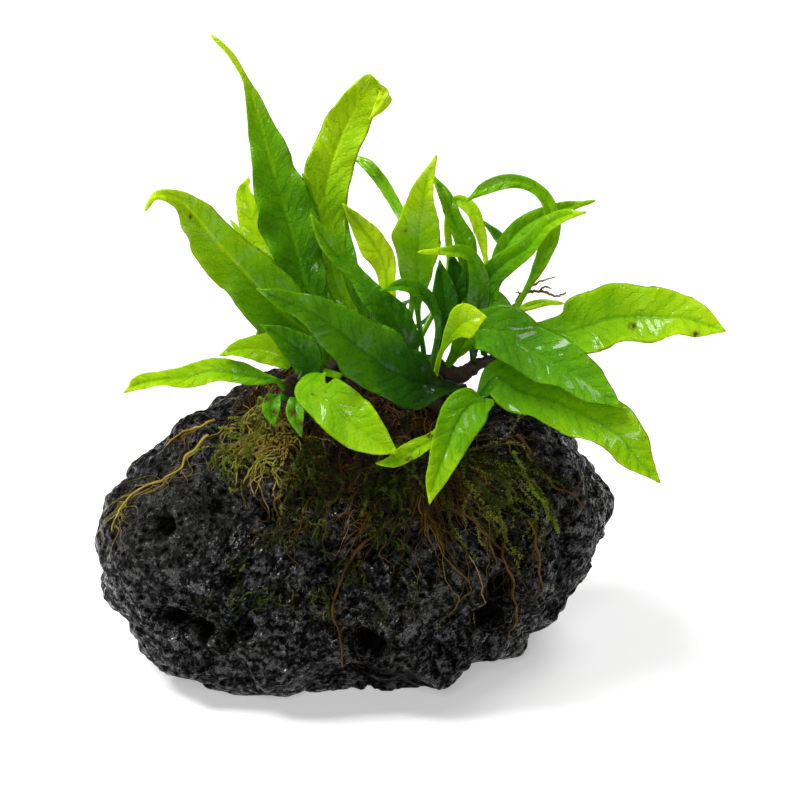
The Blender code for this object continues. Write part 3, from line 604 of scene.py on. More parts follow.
# Each noise that moves or thickens a root: its size, spacing and pattern.
ROOT_SWAYS = ((0.5, 7.3, 61), (0.3, 2.9, 64))
ROOT_KNOTS = ((0.28, 1.7, 67), (0.22, 4.3, 68))
HAIRS_PER_MM, HAIR_STEPS, HAIR_SPREAD, HAIR_WANDER, HAIR_DROP = 1.2, 8, 0.55, 0.4, 0.15
HAIR_LENGTHS, HAIR_LIFTS = (2, 11), (0.05, 0.5)
# Each root: its tone, its share of the thickest root's radius, and its route.
ROOTS = {
    "root_far_left": (0.86, 0.7, (
        (-40, -5.5, 67), (-42, -7, 65), (-46.5, -8, 60.5), (-49, -10.5, 57.5), (-54.5, -8.5, 54.5),
        (-59, -8.5, 52), (-62.5, -12.5, 50), (-64, -16, 48.5), (-65.5, -20, 45.5),
    )),
    "root_left": (0.8, 0.65, (
        (-39, 3, 68), (-41, 0.5, 67.5), (-45, 1, 66), (-49, 2.5, 63), (-52, 2.5, 60.5),
    )),
    "root_front_left": (0.5, 0.75, (
        (-19.5, -32, 61.5), (-21.5, -31, 57), (-21.5, -33, 54), (-21.5, -34.5, 51),
    )),
    "root_front_left_short": (0.45, 0.6, (
        (-12, -31.5, 60.5), (-13, -33, 58.5), (-14, -34.5, 57), (-14.5, -35.5, 55),
    )),
    "root_centre": (0.38, 0.75, (
        (10, -33.5, 55.5), (4.5, -34.5, 50.5), (1, -37.5, 48.5), (-1.5, -37, 44.5), (-4, -38, 40),
        (-6, -40.5, 32.5), (-4.5, -42, 25.5), (-3.5, -40.5, 17), (-3.5, -38, 12),
    )),
    "root_centre_fork": (0.35, 0.6, ((3.5, -34, 57.5), (2.5, -35.5, 56), (1.5, -37, 54), (0, -38, 51.5))),
    "root_front_right": (0.45, 0.75, (
        (25.5, -24, 54), (29.5, -24.5, 51), (34, -28, 48), (37.5, -25, 42.5), (39.5, -31, 40.5),
        (41, -29, 35), (41.5, -30.5, 30), (42.5, -26, 22), (40.5, -22.5, 15),
    )),
    "root_right": (0.4, 0.8, (
        (43, -5, 66.5), (45.5, -5.5, 63), (48.5, -10.5, 59), (51.5, -12, 55.5), (54.5, -11.5, 53),
        (57.5, -10.5, 51), (60.5, -9.5, 47),
    )),
    "root_right_low": (0.5, 0.7, (
        (45.5, -21, 49), (47, -22, 44.5), (48, -23.5, 39.5), (48.5, -24.5, 34.5), (50, -22, 28.5),
    )),
    "root_back": (0.45, 0.8, ((0, 40, 66), (6, 50, 56), (4, 54, 44), (8, 54, 32))),
    "root_back_left": (0.5, 0.8, ((-28, 34, 66), (-36, 38, 54), (-38, 40, 42))),
}


def on_ground(points, lift):
    """The points moved along their rays from the stone's centre to this far off the ground, over pores."""
    ways = unit(points - STONE_CENTRE)
    reach = np.maximum(ground_reach(ways), coarse_reach(ways) - FINE_INSET)
    return on_rays(ways, reach + lift)


def root_skin(tone, thick, route, chance):
    """One root's tone and tube, laid on the ground, and the routes of the finer roots that leave it and run
    on beside it. The tube sways by two sizes of noise. Its radius shrinks to the tip and swells in knots
    where two other sizes are high."""
    radius = thick * ROOT_RADIUS
    path = smooth_path(route, round(path_length(route) / ROOT_SPACING))
    sway = [
        sum(size * lump_noise(path, spacing, pattern + axis) for size, spacing, pattern in ROOT_SWAYS)
        for axis in range(3)
    ]
    path = on_ground(path + np.stack(sway, axis=1), ROOT_STAND * radius)
    path[1:-1] = (path[:-2] + 2 * path[1:-1] + path[2:]) / 4
    knots = sum((size * lump_noise(path, spacing, pattern) for size, spacing, pattern in ROOT_KNOTS), 1)
    radii = (np.linspace(radius, ROOT_TIP * radius, len(path)) * knots)[:, None]
    radii = radii * (0.85 + 0.3 * chance.random((len(path), ROOT_SIDES)))
    hairs = round(HAIRS_PER_MM * path_length(route))
    start = chance.integers(0, len(path), hairs)
    heading = unit(unit(np.gradient(path, axis=0)[start]) + HAIR_SPREAD * chance.normal(size=(hairs, 3)))
    length, lift = (chance.uniform(*limits, hairs) for limits in (HAIR_LENGTHS, HAIR_LIFTS))
    routes = walk(path[start], heading, length, HAIR_STEPS, HAIR_WANDER, HAIR_DROP, lift, chance)
    return tone, tubes(path[None], radii[None], ROOT_SIDES), routes


roots = grown(root_skin, ROOTS, ROOT_SEED)
print("roots", len(roots), "hairs", sum(len(hairs) for _, _, hairs in roots.values()))

# %% [markdown]
# ## A dead sprig
# One twig of an old stem stands out at the right, bare, brown and forked. A Skin modifier on a few edges
# could make it. Tapering tubes along the solid's own routes are as quick, and they land on the solid.
# %% The sprig
SPRIG_RADIUS, SIDE_TWIG, SPRIG_SEED = 0.75, 0.55, 95
TWIG_STEP, TWIG_SHAKE, TWIG_TIP, TWIG_SIDES = 0.4, 0.12, 0.35, 6
SPRIG = (
    ((40.2, 11.2, 86.8), (40.6, 12.4, 92), (42.2, 13.3, 96.7), (44.8, 14, 100.3), (49.4, 14, 101.2),
     (54.6, 13, 100.1), (56.4, 13, 101)),
    ((49.4, 14, 101.2), (51, 14, 102.4), (52.6, 14, 101.8)),
    ((44.8, 14, 100.3), (46.4, 13.7, 102.4), (47.2, 13.4, 104.6)),
    ((46.4, 13.8, 102.2), (49.6, 14, 104), (53.6, 14.2, 105.2)),
    ((44.6, 13.9, 100.1), (43.4, 12.8, 101.2), (42.8, 12.4, 101.4)),
)


def twig(route, radius, chance):
    """One twig: a tube along its route that tapers to a point and is roughened by drawn numbers."""
    path = smooth_path(route, max(6, round(path_length(route) / TWIG_STEP)))
    path[1:-1] += TWIG_SHAKE * chance.normal(size=path[1:-1].shape)
    taper = np.linspace(radius, TWIG_TIP * radius, len(path))
    rough = 0.8 + 0.4 * chance.random((len(path), TWIG_SIDES))
    return tubes(path[None], (taper[:, None] * rough)[None], TWIG_SIDES)


twigs = [
    twig(route, SPRIG_RADIUS * (SIDE_TWIG if order else 1), np.random.default_rng(SPRIG_SEED + order))
    for order, route in enumerate(SPRIG)
]
print("twigs", len(twigs))

# %% [markdown]
# ## Moss
# Moss shoots carry tiny pointed leaves all round. Real ones number in the tens of thousands. Instances of
# one modelled leaf would be light, but an exported model loses them. So each leaf is only a wedge of four
# triangles, and all of them are worked out in one array.
# %% Tiny leaves along shoots
SPIRAL_TURN = np.radians(137.5)
LEAFLET_HALF, LEAFLET_RIDGE_AT, LEAFLET_RIDGE_HEIGHT, LEAFLET_ALONG = 0.2, 0.35, 0.16, 0.8
LEAFLET_ASKEW = np.array((0.2, -0.3, 0.93))
LEAFLET_FACES = np.array(((0, 1, 2), (1, 0, 3), (2, 1, 3), (0, 2, 3)))


def leaflets(routes, each, sizes, chance):
    """Wedges set in a spiral along every shoot: the two base corners lie a fifth of the size to each side
    of the shoot, the ridge stands over the middle, and the tip is one size away, half along the shoot and
    half out from it. Points are corner, corner, tip and ridge of each wedge in turn."""
    count, rings = routes.shape[:2]
    share = np.sort(chance.random((count, each)), axis=1) * (rings - 1.001)
    before = share.astype(int)
    shoot = np.arange(count)[:, None]
    along = routes[shoot, before + 1] - routes[shoot, before]
    base = routes[shoot, before] + along * (share - before)[..., None]
    along = unit(along)
    turn = np.arange(each) * SPIRAL_TURN + chance.random((count, 1)) * 6
    across = unit(np.cross(along, LEAFLET_ASKEW))
    outward = np.cos(turn)[..., None] * across + np.sin(turn)[..., None] * np.cross(along, across)
    size = (sizes[0] + (sizes[1] - sizes[0]) * chance.random((count, each)))[..., None]
    width = np.cross(along, outward)
    lean = unit(LEAFLET_ALONG * along + outward)
    tip = base + size * lean
    ridge = base + size * (LEAFLET_RIDGE_AT * lean + LEAFLET_RIDGE_HEIGHT * np.cross(lean, width))
    half = LEAFLET_HALF * size * width
    corners = np.stack([base - half, base + half, tip, ridge], axis=2)
    faces = np.arange(count * each)[:, None, None] * 4 + LEAFLET_FACES
    return corners.reshape(-1, 3), faces.reshape(-1, 3)


# %% Moss in patches and in strands
# Each strand: its tone and its solid's route.
MOSS_STRANDS = {
    "moss_upper": (0.55, ((30.5, -14, 58), (33, -17, 56), (35.5, -19.5, 53), (37.5, -20.5, 51.5))),
    "moss_middle": (0.7, ((37, -13.5, 60), (39, -15.5, 58), (42, -19, 53))),
    "moss_bright": (
        0.97, ((41, -9.5, 63.5), (45, -12.5, 58), (49, -16.5, 53), (51.5, -17.5, 47.5), (54, -16, 43)),
    ),
}
STRAND_STAND, STRAND_RINGS, STRAND_SHOOTS, STRAND_SWAY = 0.8, 24, 4, 0.16
STRAND_LEAFLETS, STRAND_LEAF_SIZES, STRAND_SEED = 150, (0.7, 1.4), 100
# Each patch: how many shoots, turns, leans, lengths, how much they hang, leaf sizes and tones.
MOSS_PATCHES = {
    "moss_hanging_right": (64, (318, 356), (38, 58), (9, 24), 0.95, (0.7, 1.3), (0.3, 0.95)),
    "moss_under_leaves": (110, (222, 320), (22, 40), (5, 14), 0.5, (0.6, 1.3), (0.05, 0.7)),
    "moss_on_shoulder": (90, (172, 235), (30, 54), (4, 10), 0.2, (0.4, 0.9), (0.55, 0.98)),
    "moss_on_front": (300, (225, 290), (42, 84), (1.5, 5), 0.4, (0.25, 0.55), (0.1, 0.75)),
    "moss_behind": (80, (20, 160), (34, 56), (6, 18), 0.5, (0.6, 1.2), (0.1, 0.6)),
}
MOSS_STEPS, MOSS_WANDER, MOSS_LIFTS, MOSS_SEED = 12, 0.4, (0.4, 2.2), 110
MOSS_CHOICE, MOSS_CLUMP_SPACING, LEAFLETS_EACH = 2, 13, 70


def moss_patch(count, turns, leans, lengths, drop, sizes, tones, chance):
    """Shoots that walk over the ground, with their leaves. Of twice as many places, those where a slow
    noise is highest are kept, so that the moss grows in patches. Gives points, faces and tones."""
    ways = places_round(turns, leans, MOSS_CHOICE * count, chance)
    ways = ways[np.argsort(-lump_noise(START_REACH * ways, MOSS_CLUMP_SPACING, 46))[:count]]
    heading = unit(chance.normal(size=ways.shape))
    length, lift = (chance.uniform(*limits, count) for limits in (lengths, MOSS_LIFTS))
    starts = ways * START_REACH + STONE_CENTRE
    routes = walk(starts, heading, length, MOSS_STEPS, MOSS_WANDER, drop, lift, chance)
    points, faces = leaflets(routes, LEAFLETS_EACH, sizes, chance)
    tone = np.repeat(chance.uniform(*tones, count), LEAFLETS_EACH * 4)
    return points, faces, tone


def moss_strand(tone, route, chance):
    """One trailing strand: a bundle of a few shoots that sway round the solid's route, and their leaves."""
    path = on_ground(smooth_path(solid_path(route), STRAND_RINGS), STRAND_STAND)
    sway = np.cumsum(chance.normal(size=(STRAND_SHOOTS, STRAND_RINGS, 3)), axis=1) * STRAND_SWAY
    points, faces = leaflets(path + sway, STRAND_LEAFLETS, STRAND_LEAF_SIZES, chance)
    return points, faces, np.full(len(points), tone)


moss = grown(moss_strand, MOSS_STRANDS, STRAND_SEED)
moss_felt = grown(moss_patch, MOSS_PATCHES, MOSS_SEED)
print("moss leaves", sum(len(points) // 4 for points, _, _ in (*moss.values(), *moss_felt.values())))

# %% [markdown]
# ## The leaves
# A leaf of this fern is a leathery strap on a short dark stalk. Its midrib is sunk above and stands proud
# below, its side veins pull the blade into shallow pillows, and its edges wave. Each solid is a closed strip
# with a midrib and two margins. A plane bent by a Curve modifier could follow the route too, but its veins
# and waves would be stretched by it. The leaf here follows the same route with the same turns, in a ring of
# points at every half millimetre or so, so it lies on its solid.
#
# Each row holds the finish, the tone of the foot, middle and tip from 0, darkest green, to 1, pale yellow,
# whether the midrib is paler or darker than the blade, the ways that the upper face looks from foot to tip,
# and the route as x, y, z and half width.
# %% Where every leaf runs
TO_VIEWER = ((0, -1, 0.35),)
HANGING = ((0, 0.6, 0.8), (0, -0.4, 0.9), (0, -1, 0.3))
UPWARD = ((0, -0.8, 0.6),)
BACKWARD = ((0, 0.6, 0.8),)
FRONDS = {
    "tall_left": (
        "leaf_green",
        (0.3, 0.52, 0.86, 0.5),
        ((0.1, -1, 0.3), (0.2, -1, 0.3), (0.2, -1, 0.3), (0.1, -1, 0.3), (0.9, -0.5, 0.3)),
        ((-3, 5, 87, 0.8), (-7, 8, 96, 2.7), (-14, 11, 105, 5.7), (-16, 13, 112, 7.2), (-19, 16, 122, 8),
         (-23, 19, 135, 5.8), (-27, 22, 150, 2.8), (-30, 23, 158.5, 0.9), (-34, 24, 165, 1),
         (-39, 25, 170, 0)),
    ),
    "tall_curled": (
        "leaf_green",
        # The tip's tone is partly the leaf's pale colour and partly a painted highlight of light off its
        # curled top.
        (0.45, 0.81, 0.99, 0.4),
        ((0, -1, 0.2), (0, -1, 0.2), (-0.1, -1, 0.2), (-0.1, -1, 0.2), (0, -1, 0.1), (-0.5, 0.3, -0.8)),
        ((4, 12, 88, 0.8), (-2, 17, 95, 2.2), (-7, 22, 104, 5.2), (-9, 26, 116, 6), (-8, 29, 129, 6.1),
         (-4, 33, 140, 5.8), (1, 37, 148, 5.4), (5, 38, 152, 3.8), (8, 35, 151, 2.6), (6, 31, 148, 1.6),
         (3, 28, 145, 0)),
    ),
    "tall_hidden": (
        "leaf_bright",
        (0.6, 0.75, 0.75, 0),
        ((-0.3, -1, 0.3),),
        ((-1, 9, 88, 0.7), (-5, 15, 101, 2.4), (-9, 20, 116, 3), (-12, 22, 126, 2.6), (-15, 23, 132, 0)),
    ),
    "arching_left": (
        "leaf_green",
        (0.45, 0.69, 0.87, 0.8),
        ((-0.3, -0.9, 0.5), (-0.3, -0.8, 0.6), (-0.4, -0.8, 0.5)),
        ((-8, -10, 88, 0.8), (-9, -10, 93, 3), (-12, -9, 97, 6.5), (-18, -9, 102, 7.5), (-24, -10, 109, 7.6),
         (-31, -12, 118, 7), (-36, -15, 125, 6.5), (-41, -18, 133, 4.6), (-46, -21, 139, 2.6),
         (-51, -24, 141, 1.2), (-54, -25, 137, 0)),
    ),
    "front_big": (
        "leaf_dark",
        (0.0, 0.38, 0.51, -0.3),
        ((-0.6, 0.1, 0.8), (-0.3, -0.8, 0.6), (-0.1, -0.85, 0.6), (-0.1, -0.85, 0.6), (-0.1, -0.85, 0.6)),
        ((28, -12, 86, 1), (27.5, -18, 86.5, 1.6), (24, -22, 87.5, 4), (17, -25, 90, 7.4), (10, -28, 94, 8.2),
         (3, -30, 100, 8.2), (-3, -32, 106, 7.3), (-9, -35, 112, 5.2), (-15, -37, 116, 3.1),
         (-20, -39, 119, 2), (-25, -41, 122, 0)),
    ),
    "under_big": (
        "leaf_dark",
        (0.2, 0.35, 0.45, -0.2),
        UPWARD,
        ((-12, -16, 88, 0.7), (-12, -20, 92, 2.6), (-14, -22, 97, 4.4), (-18, -23, 101, 3.6),
         (-25, -24, 106, 0)),
    ),
    "low_yellow": (
        "leaf_bright",
        (0.6, 0.84, 0.8, 0.2),
        ((-0.3, -0.7, 0.7),),
        ((-15, -11, 88, 0.7), (-16, -14, 92, 2.2), (-19, -16, 94, 3.8), (-24, -17, 96, 4.2),
         (-30, -19, 97, 3), (-36, -21, 96, 0)),
    ),
    "long_left": (
        "leaf_bright",
        (0.5, 0.8, 0.92, -0.5),
        ((0, -0.6, 0.8),),
        ((-19, -17, 84, 0.7), (-21, -21, 89, 0.9), (-25, -22, 90, 2), (-30, -22, 91, 3.2),
         (-37, -22, 92, 3.6), (-45, -22, 90, 3), (-51, -23, 90, 2.6), (-57, -24, 89, 2), (-61, -25, 87, 0)),
    ),
    "back_pale": (
        "leaf_bright",
        (0.7, 0.85, 0.9, 0),
        ((-0.3, -1, 0.3), (-0.5, -1, 0.3)),
        ((3, 21, 88, 0.7), (-8, 26, 93, 1.6), (-22, 30, 105, 3.6), (-28, 33, 112, 4), (-30, 35, 118, 3.6),
         (-31, 37, 122, 2.2), (-30, 38, 126, 0)),
    ),
    "back_pale_small": (
        "leaf_green",
        (0.6, 0.72, 0.75, 0),
        ((-0.4, -1, 0.3),),
        ((5, 30, 87, 0.7), (-12, 34, 90, 1.2), (-24, 38, 99, 1.9), (-31, 43, 105, 1.7), (-36, 48, 110, 0)),
    ),
    "twisted_mid": (
        "leaf_dark",
        (0.2, 0.4, 0.65, 0),
        ((0, -0.9, 0.5), (0, -0.9, 0.5), (0.5, -0.8, 0.4), (0, -1, 0.3)),
        ((14, -5, 88, 0.8), (13, -9, 96, 3.6), (10, -9, 102, 4.2), (4, -8, 108, 3.2), (0, -6, 113, 2.5),
         (-5, -5, 118, 2.9), (-9, -5, 124, 2), (-12, -6, 130, 0)),
    ),
    "small_centre": (
        "leaf_dark",
        (0.2, 0.36, 0.45, 0),
        UPWARD,
        ((20, -12, 89, 0.7), (21, -14, 105, 1.2), (18, -16, 111, 1.9), (13, -17, 114, 2), (6, -18, 113, 0)),
    ),
    "yellow_back": (
        "leaf_bright",
        (0.75, 1.0, 0.9, -0.8),
        ((-0.3, -1, 0.3),),
        ((8, 5, 88, 0.7), (9, 10, 98, 1.5), (8, 13, 105, 2.6), (7, 14, 110, 3.5), (4, 15, 115, 3.9),
         (1, 16, 119, 3), (-4, 15, 126, 0)),
    ),
    "narrow_back": (
        "leaf_dark",
        (0.35, 0.6, 0.7, 0),
        ((0, -1, 0.3), (0.3, -1, 0.3), (0.3, -0.9, 0.5), (0, -0.9, 0.5)),
        ((12, 6, 88, 0.7), (15, 15, 101, 0.9), (13, 22, 117, 1.5), (10, 27, 122, 1.7), (6, 32, 127, 1.8),
         (2, 37, 130, 1.5), (-3, 42, 131, 0)),
    ),
    "upright": (
        "leaf_green",
        (0.4, 0.68, 1.0, -0.3),
        ((-0.3, -1, 0.35), (-0.2, -1, 0.35)),
        ((18, 0, 90, 0.7), (16, -4, 105, 1.4), (16, -5, 114, 4.5), (16, -7, 122, 6.5), (17, -9, 131, 4.9),
         (18, -11, 139, 2.8), (21, -14, 149, 0)),
    ),
    "narrow_mid": (
        "leaf_green",
        (0.35, 0.55, 0.65, -0.2),
        ((0.4, -1, 0.3),),
        ((27, 7, 90, 0.7), (29, 8, 107, 1.8), (29, 10, 116, 3.1), (26, 12, 122, 2.3), (23, 14, 129, 1.9),
         (20, 16, 134, 0)),
    ),
    "drooping": (
        "leaf_green",
        (0.5, 0.75, 0.95, -0.2),
        ((0, -1, 0.3), (0, -1, 0.3), (0, -1, 0.3), (0.2, -1, 0.6), (0.4, -0.9, 0.3)),
        ((15.5, 6, 89, 0.7), (25, 18, 107, 1), (25, 20, 121, 1.2), (27, 20, 125, 1.6), (30, 18, 124, 1.8),
         (33, 14, 118, 1.7), (35, 9, 109, 0)),
    ),
    "over_centre": (
        "leaf_dark",
        (0.2, 0.45, 0.85, 0),
        ((0, -0.9, 0.4), (0, -0.8, 0.6), (0, -0.7, 0.8)),
        ((29, -1, 90, 0.7), (32, -4, 104, 3), (32, -6, 113, 2.6), (29, -9, 120, 2), (24, -13, 122, 1.5),
         (16, -16, 123, 0)),
    ),
    "dark_one": (
        "leaf_dark",
        (0.1, 0.2, 0.3, 0),
        TO_VIEWER,
        ((22, 1, 90, 0.7), (24, -4, 101, 3), (23, -1, 108, 3), (22, 1, 115, 0)),
    ),
    "dark_two": (
        "leaf_dark",
        (0.1, 0.22, 0.3, 0),
        ((0.4, -1, 0.3),),
        ((25, 3, 90, 0.7), (25, 4, 101, 2.8), (26, 5, 108, 3), (25, 6, 116, 0)),
    ),
    "reaching_front": (
        "leaf_dark",
        (0.2, 0.5, 0.82, 0.0),
        ((-0.2, -1, 0.4), (-0.2, -1, 0.4), (-0.4, -0.9, 0.5)),
        ((33.5, 3, 91, 0.7), (33, 3, 101, 2.4), (35, 1, 109, 3.3), (40, -1, 115, 3.2), (45, -5, 120, 2.6),
         (50, -9, 128, 2.3), (55, -13, 132, 1.6), (60, -16, 134, 0)),
    ),
    "reaching_back": (
        "leaf_green",
        (0.5, 0.6, 0.65, 0),
        ((-0.3, -1, 0.4),),
        ((37, 11, 91, 0.7), (37, 16, 99, 1.5), (39, 18, 110, 2.5), (43, 21, 115, 2.6), (48, 24, 118, 2.4),
         (54, 26, 120, 2), (65, 29, 122, 0)),
    ),
    "arch_right": (
        "leaf_green",
        (0.4, 0.7, 0.59, 0.5),
        ((0.2, -1, 0.2), (0.2, -1, 0.2), (0.2, -1, 0.3), (0, -0.9, 0.5)),
        ((38, 5, 92, 0.7), (42, 3, 99, 0.8), (46, 3, 107, 1), (49, 4, 113, 1.9), (51, 6, 118, 2.6),
         (52, 7, 123, 2.4), (51, 8, 128, 2), (46, 9, 133, 1.7), (40, 9, 134, 2), (34, 9, 132, 1.7),
         (29, 10, 128, 0)),
    ),
    "narrow_right": (
        "leaf_dark",
        (0.2, 0.35, 0.45, 0),
        ((0.4, -1, 0.3),),
        ((31, 9, 90, 0.7), (37, 26, 97, 1.4), (41, 30, 107, 1.6), (38, 32, 111, 1.5), (34, 33, 115, 0)),
    ),
    "pale_right": (
        "leaf_bright",
        (0.6, 0.8, 0.85, 0),
        UPWARD,
        ((40, 16, 90, 0.7), (44, 23, 92, 1), (48, 25, 93, 1.4), (52, 27, 93, 1), (57, 29, 92, 0)),
    ),
    "right_upper": (
        "leaf_green",
        (0.5, 0.41, 0.6, 0.2),
        ((0.2, -0.8, 0.6),),
        ((27, -6, 89, 0.9), (28, -10, 95, 2.6), (31, -13, 100, 5.2), (38, -17, 101, 7.2), (44, -20, 98, 7.6),
         (50, -24, 96, 7.6), (56, -28, 94, 6.2), (62, -32, 91, 4.6), (69, -35, 87, 0)),
    ),
    "right_lower": (
        "leaf_bright",
        (0.5, 0.67, 0.84, -0.5),
        ((0.15, -0.75, 0.65),),
        ((33, -8, 86, 0.9), (37, -14, 87, 4.2), (43, -19, 85, 6.4), (50, -24, 85, 7.6), (56, -28, 84, 8),
         (63, -33, 82, 7.6), (69, -37, 79, 6.2), (73, -40, 75, 4.5), (79, -43, 69, 0)),
    ),
    "right_far": (
        "leaf_bright",
        (0.6, 0.74, 0.9, -0.6),
        ((0, -0.75, 0.65),),
        ((40, 9, 91, 0.8), (45, 5, 93, 1), (50, 1, 95, 2.6), (55, -1, 95, 6), (60, -3, 97, 8.4),
         (66, -5, 100, 8.8), (73, -8, 102, 8.2), (80, -11, 103, 7.4), (86, -14, 104, 6), (91, -16, 103, 4.2),
         (97, -19, 102, 0)),
    ),
    "young_bright": (
        "leaf_bright",
        (0.75, 0.67, 0.95, 0.0),
        ((0, -0.9, 0.5),),
        ((23, -17, 88, 0.7), (23, -22, 99, 0.9), (26, -25, 105, 2.6), (29, -27, 108, 4.6), (34, -29, 110, 0)),
    ),
    "front_left": (
        "leaf_bright",
        (0.6, 0.66, 0.82, -0.2),
        ((0, -0.5, 0.9), (-0.3, -0.7, 0.7), (0, -0.85, 0.5), (0, -0.9, 0.5)),
        ((-4, -14, 87, 0.8), (-5, -23, 91, 1.4), (-10, -30, 94, 3), (-11, -36, 92, 4.6), (-6, -42, 91, 6.2),
         (-1, -45, 87, 6.4), (3, -48, 85, 5.3), (7, -50, 83, 3.4), (11, -51, 81, 0)),
    ),
    "front_centre": (
        "leaf_bright",
        (0.6, 0.57, 0.86, -0.3),
        ((0, -0.6, 0.8), (0.1, -0.9, 0.4), (0.1, -1, 0.3)),
        ((33, -22, 82, 0.8), (34, -28, 86, 2.6), (30, -33, 87, 5.2), (26, -40, 84, 5.8), (24, -45, 81, 5),
         (22, -49, 77, 3.6), (20, -52, 72, 2), (19, -54, 68, 0)),
    ),
    "yellowing": (
        "leaf_old",
        (0.75, 0.85, 0.8, -0.6),
        ((0, -0.6, 0.8),),
        ((23, -30, 80, 0.7), (19, -39, 79, 2.4), (15, -42, 78, 2.6), (10, -45, 76, 2), (5, -46, 76, 0)),
    ),
    "small_one": (
        "leaf_dark",
        (0.3, 0.42, 0.5, -0.6),
        HANGING,
        ((-19, -20, 83, 0.7), (-20, -26, 86.5, 0.9), (-21.5, -29.5, 87, 2), (-22, -32, 85.5, 2.4),
         (-21, -34, 81, 0)),
    ),
    "small_two": (
        "leaf_dark",
        (0.35, 0.48, 0.5, -0.6),
        HANGING,
        ((-15, -25, 82, 0.7), (-15, -29, 87, 0.8), (-15.5, -33, 88, 1.8), (-15.5, -36, 86, 2.4),
         (-14, -38.5, 80, 0)),
    ),
    "back_low_left": (
        "leaf_green",
        (0.45, 0.52, 0.55, 0),
        BACKWARD,
        ((6, 33, 85, 0.7), (-4, 41, 86, 3.6), (-14, 49, 86, 6), (-22, 56, 81, 5), (-30, 62, 70, 0)),
    ),
    "back_low_middle": (
        "leaf_dark",
        (0.35, 0.42, 0.5, 0),
        BACKWARD,
        ((9, 32, 85, 0.7), (9, 42, 86, 4.4), (8, 53, 83, 6), (5, 62, 75, 4.2), (2, 66, 64, 0)),
    ),
    "back_low_right": (
        "leaf_green",
        (0.45, 0.55, 0.6, 0),
        BACKWARD,
        ((12, 28, 85, 0.7), (24, 37, 87, 4), (33, 46, 86, 6.2), (40, 54, 80, 4.6), (46, 60, 70, 0)),
    ),
    "back_leaning": (
        "leaf_dark",
        (0.35, 0.45, 0.55, 0.3),
        ((0.2, -1, 0.6),),
        ((3, 25, 88, 0.7), (-2, 31, 99, 2.8), (-7, 38, 109, 5), (-10, 46, 117, 4.2), (-13, 54, 121, 0)),
    ),
}

print("leaves", len(FRONDS))

# %% Seats and frames of the leaves
STALK_RADIUS, FOLD, EASING = 0.7, 0.22, 2
SOLID_SPACING, FEWEST_STATIONS, FOOT_GAP = 6, 7, 1.3
FINE_SPACING = 0.6


def seated(route):
    """The route with its foot moved to stand on the nearest creeping stem, on the side it grows from."""
    near = stem_points[np.argmin(np.linalg.norm(stem_points - route[0][:3], axis=1))]
    away = unit(np.array(route[1][:3], float) - near)
    foot = near + away * ((1 + RHIZOME_SWELL) * RHIZOME_RADIUS + FOOT_GAP * GAP)
    return ((*foot, route[0][3]), *route[1:])


def blade_frame(facings, route):
    """Middle line, half width, sideways and upward directions at fine steps along a leaf. The sideways
    direction is worked out at the solid's own stations, square to the way along and to the facing, eased
    there and then blended between them."""
    count = max(FEWEST_STATIONS, round(path_length(route) / SOLID_SPACING) + 1)
    along = unit(np.gradient(smooth_path(route, count)[:, :3], axis=0))
    looks, marks = np.array(facings, float), np.linspace(0, 1, len(facings))
    share = np.linspace(0, 1, count)
    facing = np.column_stack([np.interp(share, marks, looks[:, axis]) for axis in range(3)])
    side = np.cross(along, unit(facing - along * (facing * along).sum(axis=1, keepdims=True)))
    for _ in range(EASING):
        side[1:-1] = unit(side[:-2] + 2 * side[1:-1] + side[2:])
    path = smooth_path(route, round(path_length(route) / FINE_SPACING) + 1)
    fine = np.linspace(0, 1, len(path))
    side = np.column_stack([np.interp(fine, share, side[:, axis]) for axis in range(3)])
    along = unit(np.gradient(path[:, :3], axis=0))
    side = unit(side - along * (side * along).sum(axis=1, keepdims=True))
    return path[:, :3], path[:, 3], side, np.cross(side, along)


# %% The skin of a leaf
RING_HALF = 24
BLADE_HALF, RIB_HEIGHT, RIB_WIDTH, GROOVE_DEPTH, GROOVE_WIDTH = 0.17, 0.34, 0.55, 0.2, 0.5
VEIN_SPACING, VEIN_SLANT, PILLOW_HEIGHT = 4.2, 3.6, 0.2
WAVE_LENGTH, WAVE_SHARE, WAVE_MOST, WAVE_RISE, WAVE_SPREAD = 15, 0.16, 1.1, 2.2, (0.8, 1.25)
BUCKLE_SPACING, BUCKLE_HEIGHT = 8, 0.55
WOBBLE_SPACING, WOBBLE = 6, 0.45
# How long the rounded tip is, how steeply the blade cups, how far out the pillows reach their full height,
# and how late the blade thins to its margin.
TIP_ROUNDING, BOWL, PILLOW_START, MARGIN_THINNING = 2.5, 1.3, 1.5, 6
# Each noise that makes a margin ragged: its size, spacing and pattern.
RAGGED = ((0.07, 4.1, 73), (0.08, 9.7, 74))
BLADE_SEED = 200


def leaf_noise(across, along, depth, spacing, pattern):
    """Noise over a leaf laid flat, at a depth of the grid that differs from leaf to leaf."""
    place = np.stack(np.broadcast_arrays(across, along, depth), axis=-1)
    return lump_noise(place.reshape(-1, 3), spacing, pattern).reshape(place.shape[:-1])


def vein_phase(across, distance, number):
    """Counts the side veins: it grows by one for each vein spacing along the leaf, falls with the way out
    from the midrib so that the veins slant to the tip, and wobbles with the noise."""
    wobble = leaf_noise(across, distance, 9.0 * number, WOBBLE_SPACING, 71)
    return distance / VEIN_SPACING - np.abs(across) / VEIN_SLANT + WOBBLE * wobble


